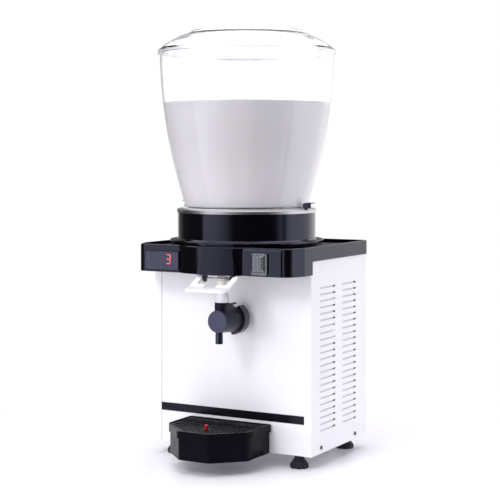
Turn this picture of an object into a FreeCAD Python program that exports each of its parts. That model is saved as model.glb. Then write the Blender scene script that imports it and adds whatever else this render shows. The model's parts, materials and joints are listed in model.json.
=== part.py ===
import FreeCAD, Part
import math
import os

# Countertop cold drink dispenser: a tall clear bowl on a chilled basin and a black drum,
# over a white sheet cabinet with the cooling set, a tap on a hose and a drip tray in front.
# Millimetres. Z is up from the surface it stands on, the front faces -Y, +X is to the
# viewer's right. The origin is the centre of the whole part's base.

Vector = FreeCAD.Vector
UP = Vector(0, 0, 1)
ALONG_X = Vector(1, 0, 0)
ALONG_Y = Vector(0, 1, 0)

# Cabinet
body_width = 290.0
body_depth = 204.8
foot_height = 22.0
cabinet_height = 319.0
sheet = 1.0
front_flange = 12.5
flange_depth = 12.0
panel_recess = 1.0
base_thickness = 1.5
upturn_height = 16.0
vent_rows = 7
vent_span = 90.0
vent_length = 80.0
vent_height = 4.0
motor_opening = 14.0
pipe_hole_radius = 6.0

# Gaps: between neighbouring sheets and mouldings, and where one piece is seated on another
part_gap = 0.3
close_gap = 0.1

# How far a cutting shape runs past the face it cuts
past = 1.0

# Collar, the black moulding on top of the cabinet
collar_reach = 60.0
collar_wall = 2.4
collar_deck = 3.0
collar_rim = 6.0
rim_wall = 3.4
skirt_drop = 38.0
band_drop = 17.0
collar_front_corner = 14.0
collar_kink_corner = 10.0
collar_cut_in = 12.05
collar_cut_back = 31.1
collar_rear_corner = 6.0
collar_nose_radius = 127.5
collar_ease = 2.6
underplate_thickness = 2.0
deck_opening = 92.0
throat_reach = 105.0
throat_half = 10.5

# Bulge that carries the hose down the front of the collar
tap_x = 18.5
bulge_bottom_width = 70.0
bulge_top_width = 46.0
bulge_bottom_radius = 132.0
bulge_top_radius = 129.5

# Drum and chilled basin
drum_axis_back = 52.7
drum_radius = 113.0
drum_wall = 2.6
drum_height = 56.0
drum_lip_radius = 126.0
drum_lip_ease = 1.0
drum_fillet = 2.0
drum_foot_gap = 0.5
drum_groove_radius = 120.0
drum_foot_height = 5.0
drum_groove_height = 4.0
drum_lip_height = 3.2
foam_lift = 8.0
ring_radius = 114.4
ring_height = 6.2
ring_bead = 2.6
ring_return = 3.0
basin_radius = 99.0
basin_wall = 1.2
basin_depth = 34.0
dome_radius = 33.0
dome_height = 23.0
drain_radius = 76.0
drain_stub_length = 7.5

# Bowl and the gasket it stands on
bowl_foot_radius = 101.5
bowl_rim_radius = 142.6
bowl_height = 254.8
bowl_bulge = 9.0
bowl_wall = 3.0
bowl_lip_reach = 2.0
bowl_lip_height = 4.0
bowl_bead = 1.2
bowl_bead_height = 3.0
gasket_thickness = 1.5
gasket_width = 5.0

# Lid
lid_fit = 0.6
lid_edge_wall = 1.1
lid_wall = 2.4
lid_ease = 1.0
lid_skirt = 7.0
lid_slope_rise = 28.4
lid_slope_bulge = 2.6
lid_top_radius = 91.5
lid_ring_height = 2.6
lid_ring_width = 4.0
lid_disc_drop = 3.5
lid_rib_height = 6.0
lid_rib_fit = 1.0
gate_radius = 4.5
gate_height = 0.8

# Clips beside the bowl's lip
clip_reach = 109.2
clip_post = 2.6
clip_foot_rim = 0.4
clip_foot_height = 1.6
clip_height = 10.2
clip_nose = 5.2
clip_nose_corner = 4.2
clip_pad_width = 10.0
clip_pad_reach = 8.4
clip_pad_thickness = 7.4
clip_lip = 5.5
clip_lip_thickness = 1.4

# Agitator and its drive
agitator_reach = 92.0
agitator_gap = 1.2
blade_height = 24.0
blade_thickness = 3.0
blade_sweep = 16.5
blade_root = 2.0
blade_count = 3
hub_wall = 3.0
hub_ease_height = 6.0
hub_ease_width = 8.0
knob_radius = 9.0
knob_height = 12.0
knob_taper = 2.0
knob_ease = 1.5
pivot_radius = 5.0
magnet_radius = 25.0
magnet_thickness = 5.0
magnet_gap = 2.0
cup_rim = 1.5
drive_boss_radius = 8.0
drive_boss_height = 10.0
motor_shaft_radius = 4.0
shaft_end_wall = 1.0
shaft_depth = 12.0
gearbox_width = 74.0
gearbox_depth = 59.0
gearbox_height = 24.0
gearbox_corner = 8.0
motor_radius = 28.0
motor_length = 42.0
motor_offset = 6.0
motor_cap_radius = 17.0
motor_cap_height = 4.0
post_height = 6.0
post_radius = 4.0
post_inset = 8.0

# Hose and the adapter at its end
hose_radius = 6.9
hose_bore = 4.6
hose_front = 59.5
hose_end_drop = 61.5
hose_drop = 19.0
hose_fall = 15.0
hose_bend = 20.0
hose_clearance = 1.2
adapter_height = 17.5
adapter_radius = 11.2
adapter_neck = 7.5
adapter_lip = 1.0
adapter_skirt = 1.5
adapter_bulge = 0.6
adapter_bulge_height = 9.4
adapter_spigot = 9.0
adapter_plug = 8.0

# Tap
socket_radius = 11.3
socket_bore = 7.5
socket_height = 17.0
tap_axis_drop = 12.2
tap_face_radius = 17.3
tap_rear_radius = 21.0
tap_face_ahead = 14.7
tap_length = 44.5
tap_end_wall = 3.0
face_fillet = 1.6
core_radius = 11.5
core_clearance = 0.05
core_passage = 4.0
seal_section = 1.2
seal_after_passage = 4.5
seal_before_rear = 4.0
nozzle_radius = 5.8
nozzle_bore = 3.8
nozzle_ahead = 8.2
nozzle_length = 18.0
nozzle_fillet = 1.5
handle_radius = 25.0
handle_depth = 15.0
handle_wall = 2.6
handle_web = 4.0
handle_lobes = 2
handle_notch = 6.6
handle_notch_out = 0.9
handle_turn = 75.0
handle_eye = 2.4
eye_edge = 1.6
eye_before_notch = 25.0
handle_screw_radius = 2.0
handle_screw_head = 4.0
handle_screw_head_height = 2.0
handle_screw_clearance = 0.2
handle_screw_depth = 9.0

# White pinch lever under the bulge
lever_width = 72.0
lever_arm = 9.2
lever_bar = 24.0
lever_corner = 8.0
lever_ease = 1.4
lever_opening_corner = 5.0
lever_notch_width = 21.0
lever_notch_depth = 10.3
lever_notch_corner = 3.0
lever_thickness = 4.2
lever_front = 116.0
lever_drop = 29.0
lever_flat_depth = 18.5
lever_flat_drop = 10.0
lever_bridge_half = 2.8
lever_bridge_reach = 3.0
lever_pin_back = 69.5
lever_pin_radius = 1.5
lever_pin_clearance = 0.05
lever_boss = 4.0
lever_pin_drop = 5.6
ear_thickness = 3.5
ear_depth = 11.0
ear_neck = 2.0
spring_wire = 0.6
spring_clearance = 0.5
spring_turns = 5
spring_pitch = 1.8
spring_end_gap = 2.0

# Controller and switch on the collar front
controller_edge = 0.35
controller_height = 31.8
controller_top_gap = 9.6
controller_bezel = 2.0
controller_corner = 4.0
controller_body_edge = 4.8
controller_body_height = 26.0
controller_body_depth = 42.0
window_inset = 1.6
switch_side = 57.0
switch_pad_proud = 2.5
switch_pad_end = 20.6
switch_pad_top = 2.8
switch_pad_chamfer = 1.8
switch_width = 27.5
switch_height = 33.0
switch_top_gap = 8.4
switch_bezel = 2.0
switch_corner = 2.0
switch_wall = 3.0
switch_body_wall = 1.0
switch_body_depth = 22.0
switch_floor = 4.0
rocker_pin = 1.5
rocker_pin_inset = 1.0
rocker_axis_depth = 12.0
rocker_hollow_radius = 32.4
rocker_dip = 2.2
rocker_proud = 1.6
rocker_back = 3.0
rocker_back_half = 5.7
rocker_tilt = 7.0
rocker_gap = 0.4
rocker_swing = 1.7

# Name strip, left bare
strip_height = 13.0
strip_bottom = 49.5
strip_thickness = 0.5

# Side louvres: where each column starts behind the front, and its length
louvre_columns = (31.2, 113.1)
louvre_lengths = (54.5, 50.8)
louvre_rows = 23
louvre_pitch = 10.23
louvre_top = 58.0
louvre_height = 2.8
louvre_depth = 0.6
louvre_hole = 7.0

# Back panel slots and the power inlet
back_slot_rows = 9
back_slot_columns = 3
back_slot_pitch = 13.0
back_slot_bottom = 118.0
back_slot_step = 74.0
back_slot_length = 58.0
back_slot_height = 4.0
inlet_side = 57.0
inlet_rise = 48.0
inlet_width = 27.5
inlet_height = 20.0
inlet_depth = 24.0
inlet_flange = 5.0
inlet_flange_low = 2.5
inlet_corner = 3.0
inlet_proud = 2.0
inlet_plug_width = 24.5
inlet_plug_height = 16.5
inlet_plug_depth = 17.0
inlet_plug_corner = 4.0
inlet_pin = 2.0
inlet_pin_half_height = 2.0
inlet_pin_recess = 6.0
inlet_pin_spacing = 7.0
inlet_pin_down = 1.6
inlet_pin_up = 2.2

# Drip tray
tray_width = 150.0
tray_reach = 116.5
tray_side = 70.0
tray_nose = 56.0
tray_nose_turn = 44.7
tray_rise = 45.2
tray_rim_height = 11.5
tray_inset = 2.8
tray_wall = 2.4
tray_shoulder_corner = 24.0
tray_nose_corner = 10.0
tray_rear_corner = 3.0
tray_back_gap = 0.4
tray_notch_length = 34.0
tray_notch_height = 7.5
tray_notch_back = 60.0
grille_thickness = 3.0
grille_recess = 1.2
grille_bar_pitch = 6.8
grille_slot = 3.6
grille_border = 6.0
grille_rear_border = 3.0
grille_cross_back = 46.0
grille_bar = 3.2
grille_boss = 4.0
float_radius = 2.9
float_ease = 1.4
float_stand = 5.3
float_back = 76.0
float_disc = 9.0
float_height = 12.0
peg_radius = 3.0
peg_length = 7.0
peg_spacing = 96.0
peg_rise = 30.0

# Feet
foot_side = 30.5
foot_front = 18.5
foot_rear = 18.8
foot_radius = 14.8
foot_rim = 6.0
foot_neck = 7.5
foot_lobes = 8
foot_lobe_cut = 3.4
foot_lobe_out = 1.4
stud_radius = 4.0
stud_length = 18.0
stud_socket = 8.0
thread_clearance = 0.05
nut_height = 6.5
nut_across = 13.0
nut_sides = 6

# Cabinet screws
side_screw_height = 9.3
side_screw_places = (34.1, 160.7)
rear_screw_places = (30.0, 150.0, 270.0)
screw_head = 3.0
screw_head_height = 1.6
screw_shank = 1.5
screw_length = 5.0

# Compressor
compressor_radius = 56.0
compressor_height = 138.0
compressor_side = 77.0
compressor_back = 116.0
compressor_base = 33.6
compressor_curve = 26.0
compressor_seam = 62.0
compressor_seam_height = 4.0
compressor_seam_reach = 3.0
compressor_crown = 34.0
compressor_flat = 30.8
compressor_plate = 4.0
compressor_plate_half = 50.4
mount_height = 12.0
mount_reach = 40.3
mount_radius = 8.0
mount_waist = 5.5
mount_low_lip = 4.0
mount_high_lip = 3.0
terminal_gap = 3.0
terminal_depth = 21.0
terminal_half = 24.0
terminal_rise = 24.0
terminal_height = 68.0
terminal_corner = 3.0

# Condenser and its fan
condenser_thickness = 36.0
condenser_front = 34.0
condenser_depth = 134.0
condenser_height = 150.0
condenser_gap = 8.0
condenser_rows = 6
condenser_tube = 4.0
condenser_overhang = 6.0
fin_gap = 3.0
fin_thickness = 1.2
fin_spine = 9.0
fan_radius = 58.0
fan_blades = 5
fan_depth = 14.0
fan_front_gap = 2.0
fan_hub = 15.0
fan_clearance = 3.0
fan_shaft = 2.5
fan_shaft_depth = 14.0
fan_shaft_end_gap = 2.0
fan_vane_width = 34.0
fan_vane_thickness = 2.0
fan_vane_root = 3.0
fan_pitch = 68.0
fan_motor_radius = 24.0
fan_motor_length = 34.0
fan_motor_ease = 3.0
shroud_wall = 3.0
shroud_ahead = 1.0
shroud_behind = 4.0
shroud_lip = 2.0
guard_arms = 3
guard_arm_half = 4.0
guard_seat_radius = 16.8
guard_shaft_gap = 1.0

# Pipes, evaporator coil and filter drier
pipe_radius = 3.2
pipe_bend = 8.0
pipe_run_back = 16.0
riser_bend = 14.0
discharge_height = 52.0
liquid_bend = 4.5
suction_inset = 14.0
suction_rise = 46.0
suction_lean = 46.0
capillary_radius = 1.4
capillary_lean = 14.4
capillary_under_motor = 17.6
coil_tube = 3.2
coil_pitch = 9.0
coil_half_turns = 4
coil_start_radius = 46.0
coil_clearance = 0.3
coil_tail = 12.0
coil_drop = 24.0
coil_bend = 8.0
drier_radius = 9.0
drier_length = 78.0
drier_neck = 6.0
drier_shoulder = 14.0
drier_side = 63.0
drier_back = 26.0
drier_bottom = 60.0

# Places worked out from the sizes above
front_reach = max(tray_reach, lever_front)
rear_reach = body_depth + part_gap + collar_wall
panel_y = (front_reach - rear_reach) / 2
rear_y = panel_y + body_depth
half_body = body_width / 2
base_z = foot_height
tray_top = base_z + tray_rise
peg_height = base_z + peg_rise
inlet_x = inlet_side - half_body
inlet_z = base_z + inlet_rise
foot_x = half_body - foot_side
switch_x = half_body - switch_side
compressor_x = compressor_side - half_body
drier_x = half_body - drier_side
strip_half = half_body - front_flange - part_gap
lid_radius = bowl_rim_radius + bowl_bead + lid_fit + lid_edge_wall
cabinet_top = base_z + cabinet_height
deck_z = cabinet_top + collar_deck
collar_top = deck_z + collar_rim
band_bottom = collar_top - collar_rim - band_drop
skirt_bottom = deck_z - skirt_drop
collar_half = half_body + part_gap / 2 + collar_wall
collar_front = panel_y - collar_reach
collar_rear = panel_y + rear_reach
axis = Vector(0, panel_y + drum_axis_back, 0)
drum_top = deck_z + drum_height
ring_top = drum_top + ring_height
bowl_bottom = ring_top + gasket_thickness
bowl_top = bowl_bottom + bowl_height
basin_floor = ring_top - basin_depth
dome_top = basin_floor + dome_height
hose_end_z = cabinet_top - hose_end_drop
adapter_top = hose_end_z + adapter_lip
tap_axis_z = adapter_top - adapter_height - socket_height - tap_axis_drop
motor_low = cabinet_top - sheet - post_height - gearbox_height - motor_length
tap_y = panel_y - hose_front
tap_face_y = tap_y - tap_face_ahead
tap_rear_y = tap_face_y + tap_length
drum_foot_radius = collar_nose_radius - rim_wall - drum_foot_gap
collar_cut_turn = math.atan2(collar_cut_back, collar_cut_in)
collar_flat_end = collar_half - collar_cut_in - collar_front_corner * math.tan(collar_cut_turn / 2)
nose_crease = math.sqrt(collar_nose_radius ** 2 - (axis.y - collar_front) ** 2)
controller_x = -(collar_flat_end + nose_crease) / 2
controller_width = collar_flat_end - nose_crease - 2 * controller_edge
controller_body_width = controller_width - 2 * controller_body_edge
switch_seat = collar_front - switch_pad_proud
half_turn_cut = 1 - math.sqrt(0.5)
SMALL = 0.02


def box(x0, x1, y0, y1, z0, z1):
    return Part.makeBox(x1 - x0, y1 - y0, z1 - z0, Vector(x0, y0, z0))


def rod(radius, start, length, direction=UP):
    return Part.makeCylinder(radius, length, start, direction)


def ring(outer, inner, z0, z1, centre=axis):
    base = Vector(centre.x, centre.y, z0)
    tall = rod(outer, base, z1 - z0)
    hole = rod(inner, base - UP * past, z1 - z0 + 2 * past)
    return tall.cut(hole)


def join(shapes):
    whole = shapes[0]
    if len(shapes) > 1:
        whole = whole.fuse(shapes[1:])
    return whole.removeSplitter()


def rounded_edges(points, radii, closed):
    """Lines between the points, with a tangent arc of the given radius at each corner."""
    count = len(points)
    if not isinstance(radii, (list, tuple)):
        radii = [radii] * count
    corners = range(count) if closed else range(1, count - 1)
    entry = list(points)
    leave = list(points)
    arcs = {}
    for i in corners:
        before = points[i] - points[i - 1]
        after = points[(i + 1) % count] - points[i]
        before.normalize()
        after.normalize()
        turn = before.getAngle(after)
        if radii[i] < SMALL or turn < SMALL:
            continue
        reach = radii[i] * math.tan(turn / 2)
        inward = after - before
        inward.normalize()
        middle = points[i] + inward * (radii[i] / math.cos(turn / 2) - radii[i])
        entry[i] = points[i] - before * reach
        leave[i] = points[i] + after * reach
        arcs[i] = Part.Arc(entry[i], middle, leave[i]).toShape()
    edges = []
    for i in range(count if closed else count - 1):
        if i in arcs:
            edges.append(arcs[i])
        following = (i + 1) % count
        if (entry[following] - leave[i]).Length > SMALL:
            edges.append(Part.LineSegment(leave[i], entry[following]).toShape())
    return edges


def prism(outline, radii, z0, z1):
    """A flat outline of (x, y) corners, rounded and raised from z0 to z1."""
    points = [Vector(x, y, z0) for x, y in outline]
    face = Part.Face(Part.Wire(rounded_edges(points, radii, True)))
    return face.extrude(UP * (z1 - z0))


def side_prism(outline, radii, x0, x1):
    """A side view outline of (y, z) corners, rounded and carried from x0 to x1."""
    points = [Vector(x0, y, z) for y, z in outline]
    face = Part.Face(Part.Wire(rounded_edges(points, radii, True)))
    return face.extrude(ALONG_X * (x1 - x0))


def front_prism(outline, radii, y0, y1):
    """A front view outline of (x, z) corners, rounded and carried from y0 to y1."""
    points = [Vector(x, y0, z) for x, z in outline]
    face = Part.Face(Part.Wire(rounded_edges(points, radii, True)))
    return face.extrude(ALONG_Y * (y1 - y0))


def rectangle(x0, x1, y0, y1):
    return [(x0, y0), (x1, y0), (x1, y1), (x0, y1)]


def turned(profile, centre=axis):
    """Turn (radius, z) steps round an upright axis; four numbers make an arc through the first pair."""
    place = [Vector(centre.x + step[-2], centre.y, step[-1]) for step in profile]
    edges = []
    for i, step in enumerate(profile):
        start = place[i - 1]
        if len(step) == 4:
            middle = Vector(centre.x + step[0], centre.y, step[1])
            edges.append(Part.Arc(start, middle, place[i]).toShape())
        else:
            edges.append(Part.LineSegment(start, place[i]).toShape())
    face = Part.Face(Part.Wire(edges))
    return face.revolve(centre, UP, 360)


def eased(flat, wall):
    """The two steps of an arc from a level face at flat to an upright one at wall, each (radius, z)."""
    middle_r = flat[0] + (wall[0] - flat[0]) * (1 - half_turn_cut)
    middle_z = flat[1] + (wall[1] - flat[1]) * half_turn_cut
    return middle_r, middle_z


def sweep(edges, radius):
    """A round rod of the given radius along joined edges."""
    path = Part.Wire(edges)
    first = edges[0]
    start = first.valueAt(first.FirstParameter)
    along = first.tangentAt(first.FirstParameter)
    section = Part.Wire(Part.makeCircle(radius, start, along))
    return path.makePipeShell([section], True, False)


def tube(points, bend, outer, inner=0.0):
    edges = rounded_edges(points, bend, False)
    solid = sweep(edges, outer)
    if inner > 0:
        solid = solid.cut(sweep(edges, inner))
    return solid


def export(shape, node):
    shape.exportStep("parts/" + node + ".step")


def mirrored(shape):
    return shape.mirror(Vector(0, 0, 0), ALONG_X)


# Cabinet sheets
def side_panel():
    inner = half_body - sheet
    low = base_z
    high = cabinet_top
    front = panel_y
    skin = box(inner, half_body, front, rear_y, low, high)
    front_turn = box(half_body - front_flange, inner, front, front + sheet, low, high)
    rear_turn = box(half_body - flange_depth, inner, rear_y - sheet, rear_y, low, high)
    panel = join([skin, front_turn, rear_turn])
    slots = []
    strips = []
    floor = half_body - louvre_depth
    for back, length in zip(louvre_columns, louvre_lengths):
        for row in range(louvre_rows):
            middle = cabinet_top - louvre_top - row * louvre_pitch
            low_edge = middle - louvre_height / 2
            start = front + back
            slots.append(box(inner - sheet, half_body + sheet, start, start + length,
                             low_edge, low_edge + louvre_height))
            strips.append(box(floor - sheet, floor, start - sheet, start + length - louvre_hole,
                              low_edge - sheet, low_edge + louvre_height + sheet))
    for start in side_screw_starts(1):
        slots.append(rod(screw_shank + thread_clearance, start - ALONG_X * flange_depth, 2 * flange_depth,
                         ALONG_X))
    for start in rear_screw_starts():
        slots.append(rod(screw_shank + thread_clearance, start - ALONG_Y * flange_depth, 2 * flange_depth,
                         ALONG_Y))
    panel = panel.cut(Part.Compound(slots))
    return panel.fuse(strips).removeSplitter()


def side_screw_starts(side):
    return [Vector(side * half_body, panel_y + back,
                   base_z + side_screw_height) for back in side_screw_places]


def rear_screw_starts():
    return [Vector(side * (half_body - flange_depth + screw_head), rear_y, base_z + height)
            for side in (-1, 1) for height in rear_screw_places]


def front_panel():
    """The front sheet, with wings behind the side flanges, a folded sole and two pegs for the tray."""
    half = half_body - front_flange
    face_y = panel_y + panel_recess
    skin = box(-half + part_gap, half - part_gap, face_y, face_y + sheet, base_z, cabinet_top)
    inner = half_body - sheet - part_gap
    wings = [box(side * (half - part_gap) if side > 0 else -inner,
                 inner if side > 0 else -(half - part_gap),
                 face_y + part_gap, face_y + part_gap + sheet, base_z, cabinet_top)
             for side in (-1, 1)]
    sole = box(-inner, inner, face_y + sheet, face_y + flange_depth, base_z, base_z + sheet)
    pegs = [rod(peg_radius, Vector(side * peg_spacing / 2, face_y - peg_length, peg_height),
                peg_length + sheet, ALONG_Y) for side in (-1, 1)]
    return join([skin, sole] + wings + pegs)


def back_panel():
    inner = half_body - flange_depth - part_gap
    plate = box(-inner, inner, rear_y - sheet, rear_y, base_z, cabinet_top)
    lugs = [box(side * inner - flange_depth / 2, side * inner + flange_depth / 2,
                rear_y - 2 * sheet - part_gap, rear_y - sheet, base_z + flange_depth,
                cabinet_top - flange_depth) for side in (-1, 1)]
    plate = join([plate] + lugs)
    slots = []
    for row in range(back_slot_rows):
        low = base_z + back_slot_bottom + row * back_slot_pitch
        for column in range(back_slot_columns):
            middle = (column - (back_slot_columns - 1) / 2) * back_slot_step
            left = middle - back_slot_length / 2
            slots.append(front_prism(rectangle(left, left + back_slot_length, low, low + back_slot_height),
                                     back_slot_height / 2 - SMALL, rear_y - 2 * sheet, rear_y + sheet))
    for start in rear_screw_starts():
        slots.append(rod(screw_shank + thread_clearance, start - ALONG_Y * flange_depth, 2 * flange_depth,
                         ALONG_Y))
    plate = plate.cut(Part.Compound(slots))
    opening = front_prism(rectangle(inlet_x - inlet_width / 2, inlet_x + inlet_width / 2,
                                    inlet_z - inlet_height / 2, inlet_z + inlet_height / 2),
                          part_gap, rear_y - 3 * sheet, rear_y + sheet)
    return plate.cut(opening)


def base_plate():
    inner = half_body - sheet - part_gap
    front = panel_y + flange_depth + panel_recess + part_gap
    plate = box(-inner, inner, front, rear_y - sheet - part_gap, base_z, base_z + base_thickness)
    top = base_z + base_thickness
    turns = [box(min(side * inner, side * (inner - sheet)), max(side * inner, side * (inner - sheet)),
                 front,
                 rear_y - 3 * sheet, top, base_z + upturn_height) for side in (-1, 1)]
    nuts = [foot_nut(x, y) for x, y in foot_places()]
    plate = join([plate] + turns + nuts)
    for x, y in foot_places():
        plate = plate.cut(rod(stud_radius + thread_clearance, Vector(x, y, 0), cabinet_top))
    for side in (-1, 1):
        for start in side_screw_starts(side):
            hole = rod(screw_shank + thread_clearance, start + ALONG_X * side, flange_depth,
                       ALONG_X * -side)
            plate = plate.cut(hole)
    vents = []
    for row in range(vent_rows):
        y = axis.y - vent_span / 2 + row * vent_span / (vent_rows - 1)
        vents.append(prism(rectangle(-vent_length / 2, vent_length / 2, y, y + vent_height),
                           vent_height / 2 - SMALL, base_z - sheet, base_z + 3 * sheet))
    return plate.cut(Part.Compound(vents))


def foot_places():
    front = panel_y + foot_front
    rear = rear_y - foot_rear
    return [(-foot_x, front), (foot_x, front), (-foot_x, rear), (foot_x, rear)]


def foot(x, y):
    centre = Vector(x, y, 0)
    top = base_z - part_gap
    pad = turned([(0, 0), (foot_radius, 0), (foot_radius, foot_rim), (foot_neck, top - foot_rim),
                  (foot_neck, top), (0, top)], centre)
    cuts = []
    reach = foot_radius + foot_lobe_out
    for lobe in range(foot_lobes):
        angle = 2 * math.pi * lobe / foot_lobes
        spot = Vector(x + reach * math.cos(angle), y + reach * math.sin(angle), -past)
        cuts.append(rod(foot_lobe_cut, spot, foot_height))
    pad = pad.cut(Part.Compound(cuts))
    low = top - stud_socket
    stud = rod(stud_radius, Vector(x, y, low), stud_length)
    pad = pad.cut(rod(stud_radius, Vector(x, y, low), stud_length))
    return Part.Compound([pad, stud])


def foot_nut(x, y):
    """A hexagon nut welded on the base plate over each foot's hole."""
    low = base_z + base_thickness
    corner = nut_across / 2 / math.cos(math.pi / nut_sides)
    outline = []
    for number in range(nut_sides):
        angle = 2 * math.pi * number / nut_sides
        outline.append((x + corner * math.cos(angle), y + corner * math.sin(angle)))
    return prism(outline, 0, low, low + nut_height)


def top_plate():
    inner = half_body - sheet - part_gap
    low = cabinet_top - sheet
    plate = box(-inner, inner, panel_y + panel_recess + 2 * sheet + 2 * part_gap,
                rear_y - sheet - part_gap - sheet, low, cabinet_top)
    plate = plate.cut(rod(motor_opening, Vector(axis.x, axis.y, low - past), sheet + 2 * past))
    for place in coil_tails():
        plate = plate.cut(rod(pipe_hole_radius, Vector(place.x, place.y, low - past), sheet + 2 * past))
    return plate


# Collar
def collar_block(inset, z0, z1):
    """The collar's plan with its front corners cut away, all round smaller by inset."""
    half = collar_half - inset
    front = collar_front + inset
    rear = collar_rear - inset
    cut = half - collar_cut_in + inset - inset * math.tan(collar_cut_turn / 2)
    kink = collar_front + collar_cut_back + inset * math.tan(math.pi / 4 - collar_cut_turn / 2)
    outline = [(-cut, front), (cut, front), (half, kink), (half, rear), (-half, rear), (-half, kink)]
    radii = [corner - inset for corner in (collar_front_corner, collar_front_corner, collar_kink_corner,
                                           collar_rear_corner, collar_rear_corner, collar_kink_corner)]
    block = prism(outline, radii, z0, z1)
    nose = rod(collar_nose_radius - inset, Vector(axis.x, axis.y, z0), z1 - z0)
    return block.fuse(nose).removeSplitter()


def eased_top(shape, z, radius):
    edges = [edge for edge in shape.Edges if edge.BoundBox.ZMin > z - SMALL]
    return shape.makeFillet(radius, edges)


def bulge(inset, z0, z1):
    cone = Part.makeCone(bulge_bottom_radius - inset, bulge_top_radius - inset, collar_top - skirt_bottom,
                         Vector(axis.x, axis.y, skirt_bottom))
    low = bulge_bottom_width / 2 - inset
    high = bulge_top_width / 2 - inset
    outline = [(tap_x - low, skirt_bottom), (tap_x + low, skirt_bottom),
               (tap_x + high, collar_top), (tap_x - high, collar_top)]
    wedge = front_prism(outline, 0, collar_front - collar_reach, axis.y)
    return cone.common(wedge).common(box(-half_body, half_body, collar_front - collar_reach, axis.y, z0,
                                         z1))


def collar():
    outside = eased_top(collar_block(0, skirt_bottom, collar_top), collar_top, collar_ease)
    outside = outside.fuse([bulge(0, skirt_bottom, collar_top - collar_ease), switch_pad()])
    pocket = collar_block(rim_wall, deck_z, collar_top + past)
    under = skirt_bottom - past
    hollow = collar_block(collar_wall, under, cabinet_top)
    hold = half_body + part_gap / 2
    hollow = hollow.fuse(box(-hold, hold, panel_y, rear_y + part_gap, under, cabinet_top))
    shell = outside.cut(pocket).cut(hollow)
    shell = shell.cut(bulge(collar_wall, under, cabinet_top))
    shell = shell.cut(box(-body_width, body_width, panel_y, rear_y + body_depth, under, band_bottom))
    shell = shell.cut(rod(deck_opening, Vector(axis.x, axis.y, cabinet_top - past), collar_deck + 2 * past))
    throat = prism(rectangle(tap_x - throat_half, tap_x + throat_half, axis.y - throat_reach, axis.y),
                   throat_half / 2, cabinet_top - past, deck_z + past)
    shell = shell.cut(throat)
    shell = shell.cut(controller_opening()).cut(switch_opening())
    return shell.removeSplitter()


def switch_pad():
    """A flat step on the collar that carries the switch, running into the round nose."""
    top = collar_top - switch_pad_top
    outline = [(collar_front + collar_wall, skirt_bottom), (switch_seat, skirt_bottom),
               (switch_seat, top - switch_pad_chamfer), (switch_seat + switch_pad_chamfer, top),
               (collar_front + collar_wall, top)]
    return side_prism(outline, 0, nose_crease - collar_wall, half_body - switch_pad_end)


def controller_opening():
    z = controller_z()
    half_w = controller_body_width / 2 + part_gap
    half_h = controller_body_height / 2 + part_gap
    return box(controller_x - half_w, controller_x + half_w, collar_front - past,
               collar_front + 2 * collar_wall, z - half_h, z + half_h)


def controller_z():
    return collar_top - controller_top_gap - controller_height / 2


def switch_z():
    return collar_top - switch_top_gap - switch_height / 2


def switch_opening():
    half_w = switch_width / 2 - switch_wall + switch_body_wall + close_gap
    half_h = switch_height / 2 - switch_wall + switch_body_wall + close_gap
    z = switch_z()
    return box(switch_x - half_w, switch_x + half_w, switch_seat - past,
               collar_front + 2 * collar_wall, z - half_h, z + half_h)


def underplate():
    """Closes the overhang from below and carries two ears for the lever's pin."""
    low = skirt_bottom + part_gap
    gap = collar_wall + part_gap
    plate = collar_block(gap, low, low + underplate_thickness)
    plate = plate.fuse(bulge(gap, low, low + underplate_thickness))
    plate = plate.common(box(-body_width, body_width, collar_front - collar_reach, panel_y - part_gap,
                             low - past, low + collar_reach))
    plate = plate.cut(rod(hose_radius + hose_clearance, Vector(tap_x, tap_y, low - past), collar_reach))
    return join([plate] + lever_ears())


# Drum and basin
def drum_shell():
    base = deck_z
    groove = base + drum_foot_height
    lip = groove + drum_groove_height
    lip_top = lip + drum_lip_height
    inner = drum_radius - drum_wall
    return turned([(inner, base), (drum_foot_radius, base), (drum_foot_radius, groove),
                   (drum_groove_radius, groove), (drum_groove_radius, lip), (drum_lip_radius, lip),
                   (drum_lip_radius, lip_top - drum_lip_ease), (drum_lip_radius - drum_lip_ease, lip_top),
                   (drum_radius + drum_fillet, lip_top), (drum_radius, lip_top + drum_fillet),
                   (drum_radius, drum_top), (inner, drum_top)])


def evaporator():
    rim_wall_z = ring_top - ring_height
    lip = ring_radius - basin_wall
    fold = lip - ring_return
    crown = (ring_radius - ring_bead, ring_top)
    edge = (ring_radius, ring_top - ring_bead)
    body = turned([(0, dome_top), (dome_radius, dome_top), (dome_radius, basin_floor + basin_wall),
                   (basin_radius - basin_wall, basin_floor + basin_wall),
                   (basin_radius - basin_wall, ring_top),
                   crown, eased(crown, edge) + edge,
                   (ring_radius, rim_wall_z), (fold, rim_wall_z), (fold, rim_wall_z + basin_wall),
                   (lip, rim_wall_z + basin_wall), (lip, edge[1]), (crown[0], ring_top - basin_wall),
                   (basin_radius, ring_top - basin_wall),
                   (basin_radius, basin_floor), (dome_radius - basin_wall, basin_floor),
                   (dome_radius - basin_wall, dome_top - basin_wall), (0, dome_top - basin_wall)])
    start = drain_place()
    outer = hose_bore - part_gap
    pipe = rod(outer, start - UP * drain_stub_length, drain_stub_length + basin_wall / 2)
    bore = rod(outer - basin_wall, start - UP * (drain_stub_length + past),
               drain_stub_length + 2 * basin_wall)
    return body.fuse(pipe).cut(bore).removeSplitter()


def drain_place():
    """Where the drain leaves the basin floor, in front of the axis and in line with the tap."""
    return Vector(tap_x, axis.y - math.sqrt(drain_radius ** 2 - tap_x ** 2), basin_floor)


def outlet_hose():
    top = drain_place() - UP * part_gap
    knee = Vector(tap_x, top.y, top.z - hose_drop)
    bend = Vector(tap_x, tap_y, cabinet_top - hose_fall)
    foot_end = Vector(tap_x, tap_y, hose_end_z)
    return tube([top, knee, bend, foot_end], hose_bend, hose_radius, hose_bore)


def coil_z():
    return basin_floor - coil_clearance - coil_tube


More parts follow.
